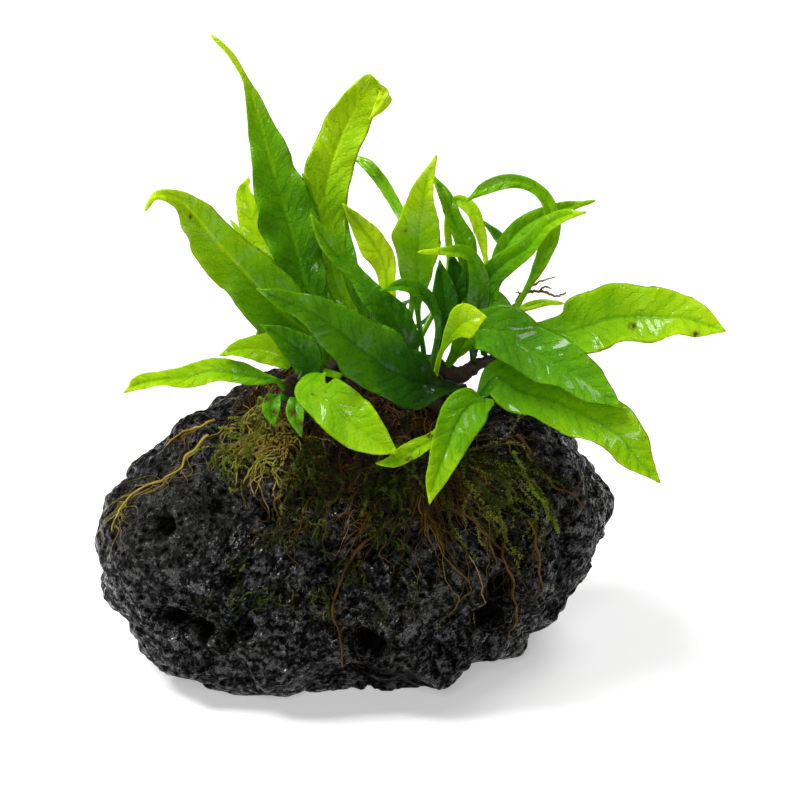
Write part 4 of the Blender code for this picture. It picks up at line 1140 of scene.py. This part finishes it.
def blade_skin(facings, route, number):
    """Points, faces, ring places and sizes of one leaf. A ring runs over the top from the left margin to
    the right one and back underneath. On the stalk it is a circle. On the blade its height is the sum of
    the fold, which grows with the distance from the midrib, slow waves towards each margin, buckles,
    pillows between the side veins, and the thickness, with a groove above and a rib below."""
    middle, half, side, up = blade_frame(facings, route)
    distance = np.concatenate([[0], np.cumsum(np.linalg.norm(np.diff(middle, axis=0), axis=1))])
    rest = distance[-1] - distance
    half = np.maximum(half, STALK_RADIUS * np.sqrt(np.clip(rest / TIP_ROUNDING, 0.002, 1)))
    flat = np.clip((half - STALK_RADIUS) / STALK_RADIUS, 0, 1)[:, None]
    share = np.concatenate([np.linspace(0, 1, RING_HALF + 1), np.linspace(1, 0, RING_HALF + 1)[1:-1]])
    upper = np.where(np.arange(2 * RING_HALF) <= RING_HALF, 1, -1)
    even, circle = 2 * share - 1, -np.cos(np.pi * share)
    out = flat * np.sign(even) * np.abs(even) ** BOWL + (1 - flat) * circle
    chance = np.random.default_rng(BLADE_SEED + number)
    phase = np.where(even < 0, *chance.uniform(0, 2 * np.pi, 2))
    length = WAVE_LENGTH * np.where(even < 0, *chance.uniform(*WAVE_SPREAD, 2))
    turn = 2 * np.pi * distance[:, None] / length + phase
    margin = 9 * np.sign(even), distance[:, None], 30.0 * number
    ragged = sum(size * leaf_noise(*margin, spacing, pattern) for size, spacing, pattern in RAGGED)
    across = out * half[:, None] * (1 + flat * ragged)
    far = np.abs(out) * flat
    wave = np.minimum(WAVE_SHARE * half[:, None], WAVE_MOST) * far**WAVE_RISE * np.sin(turn)
    down = np.broadcast_to(distance[:, None], across.shape)
    inner = np.clip(np.abs(across) / PILLOW_START, 0, 1) * flat
    bulge = np.abs(np.sin(np.pi * vein_phase(across, down, number))) ** 0.8
    pillow = PILLOW_HEIGHT * inner * (1.4 * bulge - 0.8)
    buckle = BUCKLE_HEIGHT * inner * leaf_noise(across, down, 40.0 * number, BUCKLE_SPACING, 72)
    rib = np.where(upper > 0, -GROOVE_DEPTH * np.exp(-((across / GROOVE_WIDTH) ** 2)),
                   RIB_HEIGHT * np.exp(-((across / RIB_WIDTH) ** 2)))
    thick = BLADE_HALF * (1 - np.abs(out) ** MARGIN_THINNING) + rib * (half[:, None] > RIB_WIDTH)
    thick = flat * thick + (1 - flat) * half[:, None] * np.sqrt(1 - circle**2)
    fold = FOLD * half[:, None] * np.abs(out) ** BOWL * flat
    height = fold + wave + pillow + buckle + upper * thick
    rings = middle[:, None] + side[:, None] * across[..., None] + up[:, None] * height[..., None]
    points = np.concatenate([rings[:-1].reshape(-1, 3), middle[[0, -1]]])
    faces = ring_faces(1, len(middle) - 1, 2 * RING_HALF)
    return points, faces, across[:-1], down[:-1], out[:-1], (upper > 0) & (flat[:-1] > 0.5)


# %% Tones and marks of the leaves
# Marks: how far along the leaf, how far across from -1 to 1, and the radius, of each brown spot.
MARKS = {
    "arching_left": ((0.78, -0.2, 0.9),),
    "upright": ((0.62, -0.5, 0.7),),
    "right_far": ((0.62, 0.35, 1.6), (0.9, 0.8, 1.2)),
    "front_left": ((0.55, 0.1, 0.6), (0.6, -0.3, 0.5)),
    "yellowing": ((0.55, 0.7, 1.6), (0.8, -0.6, 1.4)),
    "small_one": ((0.6, 0.6, 1.5), (0.8, -0.4, 1.4)),
    "small_two": ((0.7, 0.3, 1.6), (0.85, -0.5, 1.2)),
    "tall_curled": ((0.85, 0.9, 0.9),),
}
TONE_PLACES, FOOT_DARKER = (0, 0.15, 0.5, 1), 0.1
MARGIN_PALER, UNDERSIDE_PALER, MARK_STRENGTH = 0.08, 0.06, 1.6


def per_point(rings):
    """One value for each point of a leaf, from the values of its rings and then of its foot and tip."""
    return np.concatenate([rings.ravel(), rings[0, :1], rings[-1, :1]])


def blade_values(name, tones, skin):
    """Tone, midrib and brown values of a leaf's points. The tone runs from foot to tip and is lighter at
    the margins and underneath. Brown is one less the distance to a mark over its radius, times the marks'
    strength."""
    _, _, across, down, out, top = skin
    along = down / down.max()
    tone = np.interp(along, TONE_PLACES, (tones[0] - FOOT_DARKER, *tones[:3]))
    tone = tone + MARGIN_PALER * np.abs(out) ** 5 + np.where(top, 0, UNDERSIDE_PALER)
    brown = np.zeros_like(across)
    for place, where, radius in MARKS.get(name, ()):
        widest = np.abs(across[np.argmin(np.abs(along[:, 0] - place))]).max()
        gap = np.hypot(across - where * widest, down - place * down.max())
        brown = np.maximum(brown, np.clip(MARK_STRENGTH * (1 - gap / radius), 0, 1))
    return {
        "tone": per_point(tone),
        "midrib": per_point(np.full_like(across, tones[3])),
        "brown": per_point(brown),
    }


def lay_uv(mesh, across, down):
    """A UV map whose u is the millimetres from the midrib and v the millimetres from the foot."""
    place = np.stack([per_point(across), per_point(down)], axis=1)
    corners = np.empty(len(mesh.loops), np.int32)
    mesh.loops.foreach_get("vertex_index", corners)
    mesh.uv_layers.new(name="blade").uv.foreach_set("vector", place[corners].astype(np.float32).ravel())


blades = {
    name: blade_skin(facings, seated(route), number)
    for number, (name, (_, _, facings, route)) in enumerate(FRONDS.items())
}
print("leaf triangles", sum(2 * len(skin[1][0]) for skin in blades.values()))

# %% [markdown]
# ## Finishes
# Every finish is built from nodes, so it has no seams and no pixels. Painted images would need unwrapping
# and would blur close up. Three effects serve the finishes: pits and wrinkles, patches of water film, and
# the net of leaf veins. Each is a node group made once, with its sizes in millimetres, and placed in a
# material with its own values. The shaders stay in the materials.
# %% Helpers for nodes
def feed(tree, socket, value):
    """Links another node's output to the socket, or sets the socket to a plain value."""
    if isinstance(value, bpy.types.NodeSocket):
        tree.links.new(value, socket)
    else:
        socket.default_value = value


def put(tree, kind, inputs=None, **settings):
    """Adds a node. Its settings are set by name, and each input takes a value or another node's output."""
    made = tree.nodes.new(kind)
    for key, value in settings.items():
        setattr(made, key, value)
    for key, value in (inputs or {}).items():
        feed(tree, made.inputs[key], value)
    return made


def maths(tree, operation, *values, clamp=False):
    """The output of a Math node fed with the values in turn."""
    made = put(tree, "ShaderNodeMath", dict(enumerate(values)), operation=operation, use_clamp=clamp)
    return made.outputs[0]


def remap(tree, value, low, high, to_low=0.0, to_high=1.0):
    """The value brought from one range to another by a smooth step and held inside it."""
    limits = {"Value": value, "From Min": low, "From Max": high, "To Min": to_low, "To Max": to_high}
    return put(tree, "ShaderNodeMapRange", limits, interpolation_type="SMOOTHSTEP").outputs["Result"]


def noise(tree, vector, scale, detail, roughness=0.55):
    """A noise texture's value round 0.5."""
    inputs = {"Vector": vector, "Scale": scale, "Detail": detail, "Roughness": roughness}
    return put(tree, "ShaderNodeTexNoise", inputs).outputs["Fac"]


def folded(tree, vector, scale):
    """How far noise lies from its middle value, which leaves sharp creases between round ridges."""
    return maths(tree, "ABSOLUTE", maths(tree, "SUBTRACT", noise(tree, vector, scale, 2.0), 0.5))


def blend(tree, share, first, second):
    """Two colours mixed by a share. Each is a node's output or three plain numbers."""
    mixed = put(tree, "ShaderNodeMix", {"Factor": share}, data_type="RGBA")
    for key, value in ((6, first), (7, second)):
        feed(tree, mixed.inputs[key], value if isinstance(value, bpy.types.NodeSocket) else (*value, 1))
    return mixed.outputs[2]


def ramp(tree, value, stops):
    """A colour read off a ramp of places and linear colours."""
    made = put(tree, "ShaderNodeValToRGB", {"Fac": value})
    while len(made.color_ramp.elements) < len(stops):
        made.color_ramp.elements.new(0.5)
    for element, (place, colour) in zip(made.color_ramp.elements, stops):
        element.position, element.color = place, (*colour, 1)
    return made.outputs["Color"]


def new_group(name, inputs, outputs):
    """An empty node group with the named inputs and outputs, and the nodes that hold them."""
    group = bpy.data.node_groups.new(name, "ShaderNodeTree")
    for socket, kind, default in inputs:
        made = group.interface.new_socket(socket, in_out="INPUT", socket_type=kind)
        if default is not None:
            made.default_value = default
    for socket, kind in outputs:
        group.interface.new_socket(socket, in_out="OUTPUT", socket_type=kind)
    return group, group.nodes.new("NodeGroupInput").outputs, group.nodes.new("NodeGroupOutput").inputs


def place_group(tree, group, **inputs):
    """The outputs of a group placed in a material, with underscores standing for spaces in its inputs."""
    made = put(tree, "ShaderNodeGroup", node_tree=group)
    for key, value in inputs.items():
        feed(tree, made.inputs[key.replace("_", " ")], value)
    return made.outputs


def new_material(name, **shader_inputs):
    """A material's node tree, its main shader and its place on the object in millimetres."""
    material = bpy.data.materials.new(name)
    material.use_nodes = True
    tree = material.node_tree
    shader = tree.nodes["Principled BSDF"]
    for key, value in shader_inputs.items():
        shader.inputs[key.replace("_", " ")].default_value = value
    where = put(tree, "ShaderNodeTexCoord").outputs["Object"]
    place = put(tree, "ShaderNodeMapping", {"Vector": where, "Scale": (1 / MM,) * 3}).outputs[0]
    return material, tree, shader, place


def raise_bump(tree, shader, height):
    """Feeds a height in millimetres to the shader's normal, and gives that normal."""
    bump = put(tree, "ShaderNodeBump", {"Height": height, "Distance": MM, "Strength": 1.0})
    tree.links.new(bump.outputs[0], shader.inputs["Normal"])
    return bump.outputs[0]


def read(tree, name):
    """The value of a point attribute."""
    return put(tree, "ShaderNodeAttribute", attribute_name=name).outputs["Fac"]


# %% Shared effect: pits and wrinkles
def pits_and_wrinkles():
    """Pits are the middles of Voronoi cells of the given size and of 0.4 of it. Wrinkles are noise folded
    at its middle value, which leaves sharp creases between round ridges. At 0.4 of the size the fold is
    turned over, which leaves sharp ridges, as on crumpled foil."""
    group, given, out = new_group(
        "pits_and_wrinkles",
        (("Vector", "NodeSocketVector", None), ("Pit size", "NodeSocketFloat", 1.0),
         ("Pit depth", "NodeSocketFloat", 0.3), ("Wrinkle size", "NodeSocketFloat", 1.0),
         ("Wrinkle height", "NodeSocketFloat", 0.2)),
        (("Height", "NodeSocketFloat"), ("Pit", "NodeSocketFloat"), ("Ridge", "NodeSocketFloat")),
    )
    jitter = noise(group, given["Vector"], 1.3, 2.0)
    warped = put(group, "ShaderNodeVectorMath", {0: given["Vector"], 1: jitter}, operation="ADD").outputs[0]
    depths = []
    for share, weight in ((1.0, 1.0), (0.4, 0.6)):
        scale = maths(group, "DIVIDE", 1.0 / share, given["Pit size"])
        cell = put(group, "ShaderNodeTexVoronoi", {"Vector": warped, "Scale": scale}).outputs["Distance"]
        depths.append(remap(group, cell, 0.14, 0.42, weight, 0.0))
    pit = maths(group, "MAXIMUM", *depths)
    broad, sharp = (
        folded(group, warped, maths(group, "DIVIDE", times, given["Wrinkle size"])) for times in (1.0, 2.5)
    )
    sharp = maths(group, "MULTIPLY_ADD", sharp, -3.0, 0.5)
    ridge = maths(group, "MULTIPLY_ADD", broad, 5.0, sharp)
    raised = maths(group, "MULTIPLY", ridge, given["Wrinkle height"])
    sunk = maths(group, "MULTIPLY", pit, given["Pit depth"])
    group.links.new(maths(group, "SUBTRACT", raised, sunk), out["Height"])
    group.links.new(pit, out["Pit"])
    group.links.new(ridge, out["Ridge"])
    return group


# %% Shared effect: water film
def water_film():
    """Roughness between a wet and a dry value, by noise of the given size in millimetres. A smooth step
    makes the film end in a soft but visible edge."""
    group, given, out = new_group(
        "water_film",
        (("Vector", "NodeSocketVector", None), ("Size", "NodeSocketFloat", 6.0),
         ("Wet", "NodeSocketFloat", 0.15), ("Dry", "NodeSocketFloat", 0.5)),
        (("Roughness", "NodeSocketFloat"), ("Film", "NodeSocketFloat")),
    )
    value = noise(group, given["Vector"], maths(group, "DIVIDE", 1.0, given["Size"]), 4.0, 0.6)
    covered = remap(group, value, 0.4, 0.6)
    spread = maths(group, "SUBTRACT", given["Wet"], given["Dry"])
    group.links.new(maths(group, "MULTIPLY_ADD", covered, spread, given["Dry"]), out["Roughness"])
    group.links.new(covered, out["Film"])
    return group


# %% Shared effect: the vein net
PEBBLE_HEIGHT, NET_DEPTH, VEIN_DEPTH = 0.24, 0.05, 0.1


def vein_net():
    """Veins of a blade from its UV map in millimetres. Side veins are where the distance along over the
    spacing, less the distance out over the slant, is a whole number. The net is the edges of stretched
    Voronoi cells, and the midrib is a band round u = 0."""
    group, given, out = new_group(
        "vein_net",
        (("UV", "NodeSocketVector", None), ("Spacing", "NodeSocketFloat", VEIN_SPACING),
         ("Slant", "NodeSocketFloat", VEIN_SLANT)),
        (("Vein", "NodeSocketFloat"), ("Net", "NodeSocketFloat"), ("Midrib", "NodeSocketFloat"),
         ("Height", "NodeSocketFloat")),
    )
    parts = put(group, "ShaderNodeSeparateXYZ", {0: given["UV"]}).outputs
    outward = maths(group, "ABSOLUTE", parts[0])
    drift = maths(group, "SUBTRACT", noise(group, given["UV"], 0.22, 3.0), 0.5)
    wobble = maths(group, "MULTIPLY", drift, 2.2)
    along = maths(group, "DIVIDE", parts[1], given["Spacing"])
    slanted = maths(group, "SUBTRACT", along, maths(group, "DIVIDE", outward, given["Slant"]))
    phase = maths(group, "PINGPONG", maths(group, "ADD", slanted, wobble), 0.5)
    vein = remap(group, phase, 0.02, 0.13, 1.0, 0.0)
    warp = put(group, "ShaderNodeVectorMath", {0: given["UV"], 1: wobble}, operation="ADD").outputs[0]
    cells = put(group, "ShaderNodeTexVoronoi", {"Vector": warp, "Scale": 0.55}, feature="DISTANCE_TO_EDGE")
    net = remap(group, cells.outputs["Distance"], 0.0, 0.1, 1.0, 0.0)
    midrib = remap(group, outward, 0.25, 0.75, 1.0, 0.0)
    pebble = noise(group, given["UV"], 1.6, 3.0)
    rise = maths(group, "MULTIPLY_ADD", pebble, PEBBLE_HEIGHT, maths(group, "MULTIPLY", net, -NET_DEPTH))
    group.links.new(maths(group, "MULTIPLY_ADD", vein, -VEIN_DEPTH, rise), out["Height"])
    for socket, value in (("Vein", vein), ("Net", net), ("Midrib", midrib)):
        group.links.new(value, out[socket])
    return group


# %% The groups, made once
pits, film, veins = pits_and_wrinkles(), water_film(), vein_net()


def film_roughness(tree, shader, place, size, wet, dry):
    """Feeds the roughness of a water film to the shader, and gives where the film is."""
    water = place_group(tree, film, Vector=place, Size=size, Wet=wet, Dry=dry)
    tree.links.new(water["Roughness"], shader.inputs["Roughness"])
    return water["Film"]


print("node groups", [group.name for group in (pits, film, veins)])

# %% Lava
# Painted shade in the creases: the lava's colour by ridge value, black in the creases and charcoal grey on
# the ridges.
LAVA_CREASE_SHADE_TONES = (
    (0.1, (0.0004, 0.0004, 0.0004)), (0.5, (0.004, 0.004, 0.004)), (1.0, (0.025, 0.025, 0.0252)),
)
# The black painted as shade in pits, pores and hollows; the paler grey of the dry, worn shoulder; a trace of
# moss.
LAVA_SHADE_BLACK, LAVA_DRY, LAVA_MOSS = (0.0004,) * 3, (0.055, 0.053, 0.050), (0.016, 0.017, 0.0015)


def lava():
    """Charcoal black with a trace of moss in soft patches. Painted shade makes it greyer on the ridges and
    black in the creases, and paints its pits, pores and hollows black. The rock itself is dull. A thin
    film of water on its ridges is the coat that glints, and no crease, pit or hollow carries it."""
    material, tree, shader, place = new_material(
        "lava_charcoal", Specular_IOR_Level=0.02, Coat_Roughness=0.07,
    )
    pitted = place_group(
        tree, pits, Vector=place, Pit_size=2.5, Pit_depth=1.3, Wrinkle_size=5.0, Wrinkle_height=1.1,
    )
    patches = noise(tree, place, 0.055, 4.0, 0.6)
    dry, shade = read(tree, "dry"), read(tree, "shade")
    # Painted shade in the creases: the ramp makes them black and the ridges grey.
    crease_shaded = ramp(tree, pitted["Ridge"], LAVA_CREASE_SHADE_TONES)
    mossy = blend(tree, remap(tree, patches, 0.53, 0.7, 0.0, 0.5), crease_shaded, LAVA_MOSS)
    worn = blend(tree, maths(tree, "MULTIPLY", dry, 0.3), mossy, LAVA_DRY)
    # Painted shade: pits, pores and hollows are painted black, and the coat is kept off them.
    painted_shade_mask = maths(tree, "MAXIMUM", pitted["Pit"], shade)
    tree.links.new(blend(tree, painted_shade_mask, worn, LAVA_SHADE_BLACK), shader.inputs["Base Color"])
    wet = film_roughness(tree, shader, place, 6.0, 0.2, 0.5)
    raised = remap(tree, pitted["Ridge"], 0.3, 0.95)
    held = maths(tree, "MULTIPLY", raised, maths(tree, "SUBTRACT", 1.0, painted_shade_mask))
    held = maths(tree, "MULTIPLY", held, maths(tree, "MULTIPLY_ADD", dry, -0.25, 1.0, clamp=True))
    share = maths(tree, "MULTIPLY_ADD", wet, 0.35, 0.65)
    tree.links.new(maths(tree, "MULTIPLY", held, share), shader.inputs["Coat Weight"])
    tree.links.new(raise_bump(tree, shader, pitted["Height"]), shader.inputs["Coat Normal"])
    return material


# %% Fibres and moss
FIBRE_TONES = (
    (0.0, (0.0025, 0.0013, 0.0004)), (0.25, (0.016, 0.0068, 0.0012)), (0.45, (0.068, 0.032, 0.004)),
    (0.65, (0.13, 0.075, 0.010)), (0.85, (0.27, 0.20, 0.035)), (1.0, (0.23, 0.235, 0.018)),
)
MOSS_TONES = (
    (0.0, (0.002, 0.003, 0.0006)), (0.4, (0.018, 0.030, 0.0012)), (0.65, (0.080, 0.105, 0.012)),
    (0.85, (0.24, 0.24, 0.04)), (1.0, (0.22, 0.34, 0.006)),
)


def toned(name, stops, rough, spread, size):
    """A finish for fibres and moss. The colour is read off a ramp at the piece's own tone, shifted by
    noise of the given size."""
    material, tree, shader, place = new_material(name, Specular_IOR_Level=0.12)
    shift = maths(tree, "MULTIPLY_ADD", noise(tree, place, 1 / size, 3.0), spread, -spread / 2)
    tone = maths(tree, "ADD", read(tree, "tone"), shift, clamp=True)
    tree.links.new(ramp(tree, tone, stops), shader.inputs["Base Color"])
    film_roughness(tree, shader, place, 4.0, rough - 0.15, rough + 0.15)
    raise_bump(tree, shader, maths(tree, "MULTIPLY", noise(tree, place, 3.0, 2.0), 0.12))
    return material


# %% The mat and the stems
FELTED_TONES = (
    (0.3, (0.002, 0.001, 0.0004)), (0.5, (0.010, 0.005, 0.001)), (0.62, (0.020, 0.012, 0.002)),
    (0.75, (0.008, 0.012, 0.001)),
)
# Painted shade for the mat's pits.
FELTED_PIT_SHADE = (0.003, 0.002, 0.001)
SCALY_TONES = (
    (0.3, (0.005, 0.002, 0.0008)), (0.55, (0.025, 0.011, 0.003)), (0.75, (0.08, 0.038, 0.008)),
)


def felted():
    """The mat under the fibres: matted brown and olive, with painted shade in its pits."""
    material, tree, shader, place = new_material("felted_roots", Roughness=0.75, Specular_IOR_Level=0.1)
    pitted = place_group(
        tree, pits, Vector=place, Pit_size=2.0, Pit_depth=0.5, Wrinkle_size=0.8, Wrinkle_height=0.35,
    )
    colour = ramp(tree, noise(tree, place, 0.3, 5.0), FELTED_TONES)
    # Painted shade: the pits are darkened towards near black.
    dark = blend(tree, maths(tree, "MULTIPLY", pitted["Pit"], 0.7), colour, FELTED_PIT_SHADE)
    tree.links.new(dark, shader.inputs["Base Color"])
    raise_bump(tree, shader, pitted["Height"])
    return material


def scaly():
    """The creeping stems: dark brown with paler scale tips and a slight gloss."""
    material, tree, shader, place = new_material("scaly_stem", Specular_IOR_Level=0.25)
    pitted = place_group(
        tree, pits, Vector=place, Pit_size=1.1, Pit_depth=0.2, Wrinkle_size=0.7, Wrinkle_height=0.2,
    )
    brown = ramp(tree, noise(tree, place, 0.8, 4.0), SCALY_TONES)
    tree.links.new(brown, shader.inputs["Base Color"])
    film_roughness(tree, shader, place, 3.0, 0.3, 0.6)
    raise_bump(tree, shader, pitted["Height"])
    return material


finish = {
    "stone": lava(),
    "mat": felted(),
    "rhizome": scaly(),
    "root": toned("root_fibre", FIBRE_TONES, 0.45, 0.5, 3.5),
    "moss": toned("moss_leaf", MOSS_TONES, 0.6, 0.4, 5.0),
}
print("finishes", sorted(finish))

# %% Leaf
LEAF_TONES = (
    (0.0, (0.002, 0.014, 0.0004)), (0.3, (0.022, 0.120, 0.0004)), (0.5, (0.085, 0.28, 0.0004)),
    (0.65, (0.155, 0.40, 0.0006)), (0.8, (0.28, 0.52, 0.001)), (1.0, (0.50, 0.70, 0.005)),
)
GLOW_TONES = (
    (0.0, (0.006, 0.03, 0.0004)), (0.3, (0.055, 0.21, 0.0004)), (0.5, (0.17, 0.42, 0.0006)),
    (0.65, (0.28, 0.54, 0.0006)), (0.8, (0.45, 0.68, 0.001)), (1.0, (0.70, 0.82, 0.005)),
)
MARK_BROWN = (0.07, 0.030, 0.008)


def leaf(name, wet, dry, glow, vein_dark):
    """A leaf's finish. The tone of each point is darkened along the veins and lightened or darkened at
    the midrib. The front is a finely pebbled shader with a little gloss, and a coat of water in patches. A
    share of translucent shader in a yellower tone lets light through, as a thin leaf does."""
    material, tree, shader, place = new_material(name, Specular_IOR_Level=0.08, Coat_Roughness=0.08)
    blade = put(tree, "ShaderNodeUVMap", uv_map="blade").outputs[0]
    vein = place_group(tree, veins, UV=blade)
    cloud = maths(tree, "MULTIPLY_ADD", noise(tree, place, 0.16, 4.0, 0.6), 0.3, -0.15)
    speck = maths(tree, "MULTIPLY_ADD", noise(tree, place, 1.3, 3.0), 0.14, -0.07)
    tone = maths(tree, "ADD", maths(tree, "ADD", read(tree, "tone"), cloud), speck)
    tone = maths(tree, "MULTIPLY_ADD", vein["Vein"], -vein_dark, tone)
    tone = maths(tree, "MULTIPLY_ADD", vein["Net"], -0.3 * vein_dark, tone)
    rib = maths(tree, "MULTIPLY", vein["Midrib"], read(tree, "midrib"))
    tone = maths(tree, "MULTIPLY_ADD", rib, 0.16, tone, clamp=True)
    brown = maths(tree, "MULTIPLY", read(tree, "brown"), remap(tree, noise(tree, place, 1.2, 3.0), 0.3, 0.55))
    front = blend(tree, brown, ramp(tree, tone, LEAF_TONES), MARK_BROWN)
    through = blend(tree, brown, ramp(tree, tone, GLOW_TONES), MARK_BROWN)
    tree.links.new(front, shader.inputs["Base Color"])
    water = film_roughness(tree, shader, place, 7.0, wet, dry)
    coat = maths(tree, "MULTIPLY", remap(tree, water, 0.5, 1.0), 0.45)
    tree.links.new(coat, shader.inputs["Coat Weight"])
    normal = raise_bump(tree, shader, vein["Height"])
    lit = put(tree, "ShaderNodeBsdfTranslucent", {"Color": through, "Normal": normal})
    mixed = put(tree, "ShaderNodeMixShader", {0: glow, 1: shader.outputs[0], 2: lit.outputs[0]})
    tree.links.new(mixed.outputs[0], tree.nodes["Material Output"].inputs["Surface"])
    return material


finish.update({
    "leaf_dark": leaf("leaf_deep_green", 0.3, 0.5, 0.2, 0.035),
    "leaf_green": leaf("leaf_mid_green", 0.3, 0.5, 0.3, 0.035),
    "leaf_bright": leaf("leaf_yellow_green", 0.3, 0.5, 0.38, 0.04),
    "leaf_old": leaf("leaf_fading", 0.35, 0.55, 0.42, 0.09),
})
print("finishes", sorted(finish))

# %% [markdown]
# ## Putting the plant together
# Each piece takes the place of the solid it was grown from. The felt and the loose moss have no solid of
# their own and lie on the mat and the stone. One piece for each solid, not one for the whole plant, lets a
# reader of the model hide or swap a single leaf.
# %% Stone, mat and stems
# The stone carries its dryness and its painted shade in the hollows and pores as point values.
add_piece("lava_stone", make_mesh("lava_stone", stone_points, (stone_quads,)), finish["stone"],
          ["stone"], {"dry": stone_dry, "shade": stone_painted_shade})
add_piece("felted_mat", make_mesh("felted_mat", mat_points, mat_faces), finish["mat"], ["root_mat"])
for name, (points, faces) in stem_skins.items():
    add_piece("scaly_" + name, make_mesh(name, points, faces), finish["rhizome"], [name])

# %% Felt, roots and moss
HAIR_RADII, HAIR_DARKER = (0.13, 0.05), 0.9


def thread_piece(name, routes, radii, tone):
    """Fibres as one piece: three-sided tubes along the routes, with one tone for each fibre."""
    points, faces = tubes(routes, radii[..., None], 3)
    tones = np.repeat(tone, len(points) // len(tone))
    add_piece(name, make_mesh(name, points, faces), finish["root"], values={"tone": tones})


for name, (routes, radii, tone) in felt.items():
    thread_piece(name, routes, radii, tone)
for name, (tone, (points, faces), hairs) in roots.items():
    mesh = make_mesh(name, points, faces)
    add_piece("fibrous_" + name, mesh, finish["root"], [name], {"tone": np.full(len(points), tone)})
    thin = np.linspace(*HAIR_RADII, hairs.shape[1]) * np.linspace(0.5, 1, len(hairs))[:, None]
    thread_piece("hairs_of_" + name, hairs, thin, np.full(len(hairs), tone * HAIR_DARKER))
for name, (points, faces, tone) in {**moss, **moss_felt}.items():
    nodes = [name] if name in MOSS_STRANDS else ()
    mesh = make_mesh(name, points, (faces,))
    add_piece("leafy_" + name, mesh, finish["moss"], nodes, {"tone": tone})

# %% The dead sprig
SPRIG_TONE = 0.58


def joined(parts):
    """Several sets of points and faces as one. The faces of each count on from the points before it."""
    starts = np.cumsum([0] + [len(points) for points, _ in parts])
    faces = [
        np.concatenate([face_sets[kind] + start for (_, face_sets), start in zip(parts, starts)])
        for kind in range(2)
    ]
    return np.concatenate([points for points, _ in parts]), faces


sprig_points, sprig_faces = joined(twigs)
add_piece("dead_sprig", make_mesh("dead_sprig", sprig_points, sprig_faces), finish["root"],
          ["rhizome_sprig"], {"tone": np.full(len(sprig_points), SPRIG_TONE)})

# %% Leaves
for name, skin in blades.items():
    leaf_slot, tones = FRONDS[name][:2]
    mesh = make_mesh(name, *skin[:2])
    lay_uv(mesh, skin[2], skin[3])
    values = blade_values(name, tones, skin)
    add_piece("frond_" + name, mesh, finish[leaf_slot], ["leaf_" + name], values)

# %% [markdown]
# ## Light, floor and camera
# The photograph was taken in a light tent: a white floor that runs out of the picture, a large soft light
# above and to the left, and pale surroundings that fill the shadows. Standard colour management keeps the
# white floor white.
# %% The white floor
FLOOR_REACH, FLOOR_DROP = 3000, 0.05
FLOOR_GREY, FLOOR_GLOW = 0.74, 0.40


def pale_floor():
    """One large square just under the stone, plain and nearly white."""
    corners = FLOOR_REACH * np.array(((-1, -1, 0), (1, -1, 0), (1, 1, 0), (-1, 1, 0))) - (0, 0, FLOOR_DROP)
    material = new_material(
        "white_floor", Roughness=0.8, Base_Color=(FLOOR_GREY, FLOOR_GREY, FLOOR_GREY, 1),
        Emission_Color=(1, 1, 1, 1), Emission_Strength=FLOOR_GLOW,
    )[0]
    mesh = make_mesh("white_floor", corners, (np.array(((0, 1, 2, 3),)),))
    mesh.materials.append(material)
    floor = bpy.data.objects.new("white_floor", mesh)
    bpy.context.scene.collection.objects.link(floor)


pale_floor()

# %% Soft lights
AIM = Vector((0.0115, 0, 0.075))
TENT_GLOW = 0.08


def soft_light(name, place, size, power):
    """A square light that looks at the middle of the plant."""
    data = bpy.data.lights.new(name, "AREA")
    data.size, data.energy = size, power
    light = bpy.data.objects.new(name, data)
    light.location = place
    light.rotation_euler = (AIM - Vector(place)).to_track_quat("-Z", "Y").to_euler()
    bpy.context.scene.collection.objects.link(light)


soft_light("above_left", (-0.6, -0.05, 0.95), 0.45, 17)
soft_light("above_right", (0.45, 0.25, 1.05), 0.5, 6.5)
soft_light("front_fill", (-0.1, -1.1, 0.7), 0.35, 5)
world = bpy.data.worlds.new("light_tent")
world.use_nodes = True
background = world.node_tree.nodes["Background"]
background.inputs["Color"].default_value = (1, 1, 1, 1)
background.inputs["Strength"].default_value = TENT_GLOW
bpy.context.scene.world = world
bpy.context.scene.view_settings.view_transform = "Standard"
print("lights", [light.name for light in bpy.data.lights])

# %% The camera
CAMERA_DISTANCE, CAMERA_HEIGHT_ANGLE = 0.9, np.radians(22)
LENS, SENSOR_WIDTH = 150, 36


def look_from_front():
    """A long lens that looks down on the plant from the front by the photograph's angle."""
    data = bpy.data.cameras.new("camera")
    data.lens, data.sensor_width = LENS, SENSOR_WIDTH
    camera = bpy.data.objects.new("camera", data)
    back, up = np.cos(CAMERA_HEIGHT_ANGLE), np.sin(CAMERA_HEIGHT_ANGLE)
    camera.location = AIM + CAMERA_DISTANCE * Vector((0, -back, up))
    camera.rotation_euler = (np.pi / 2 - CAMERA_HEIGHT_ANGLE, 0, 0)
    bpy.context.scene.collection.objects.link(camera)
    bpy.context.scene.camera = camera


look_from_front()
print("camera looks down by", round(np.degrees(CAMERA_HEIGHT_ANGLE)), "degrees")
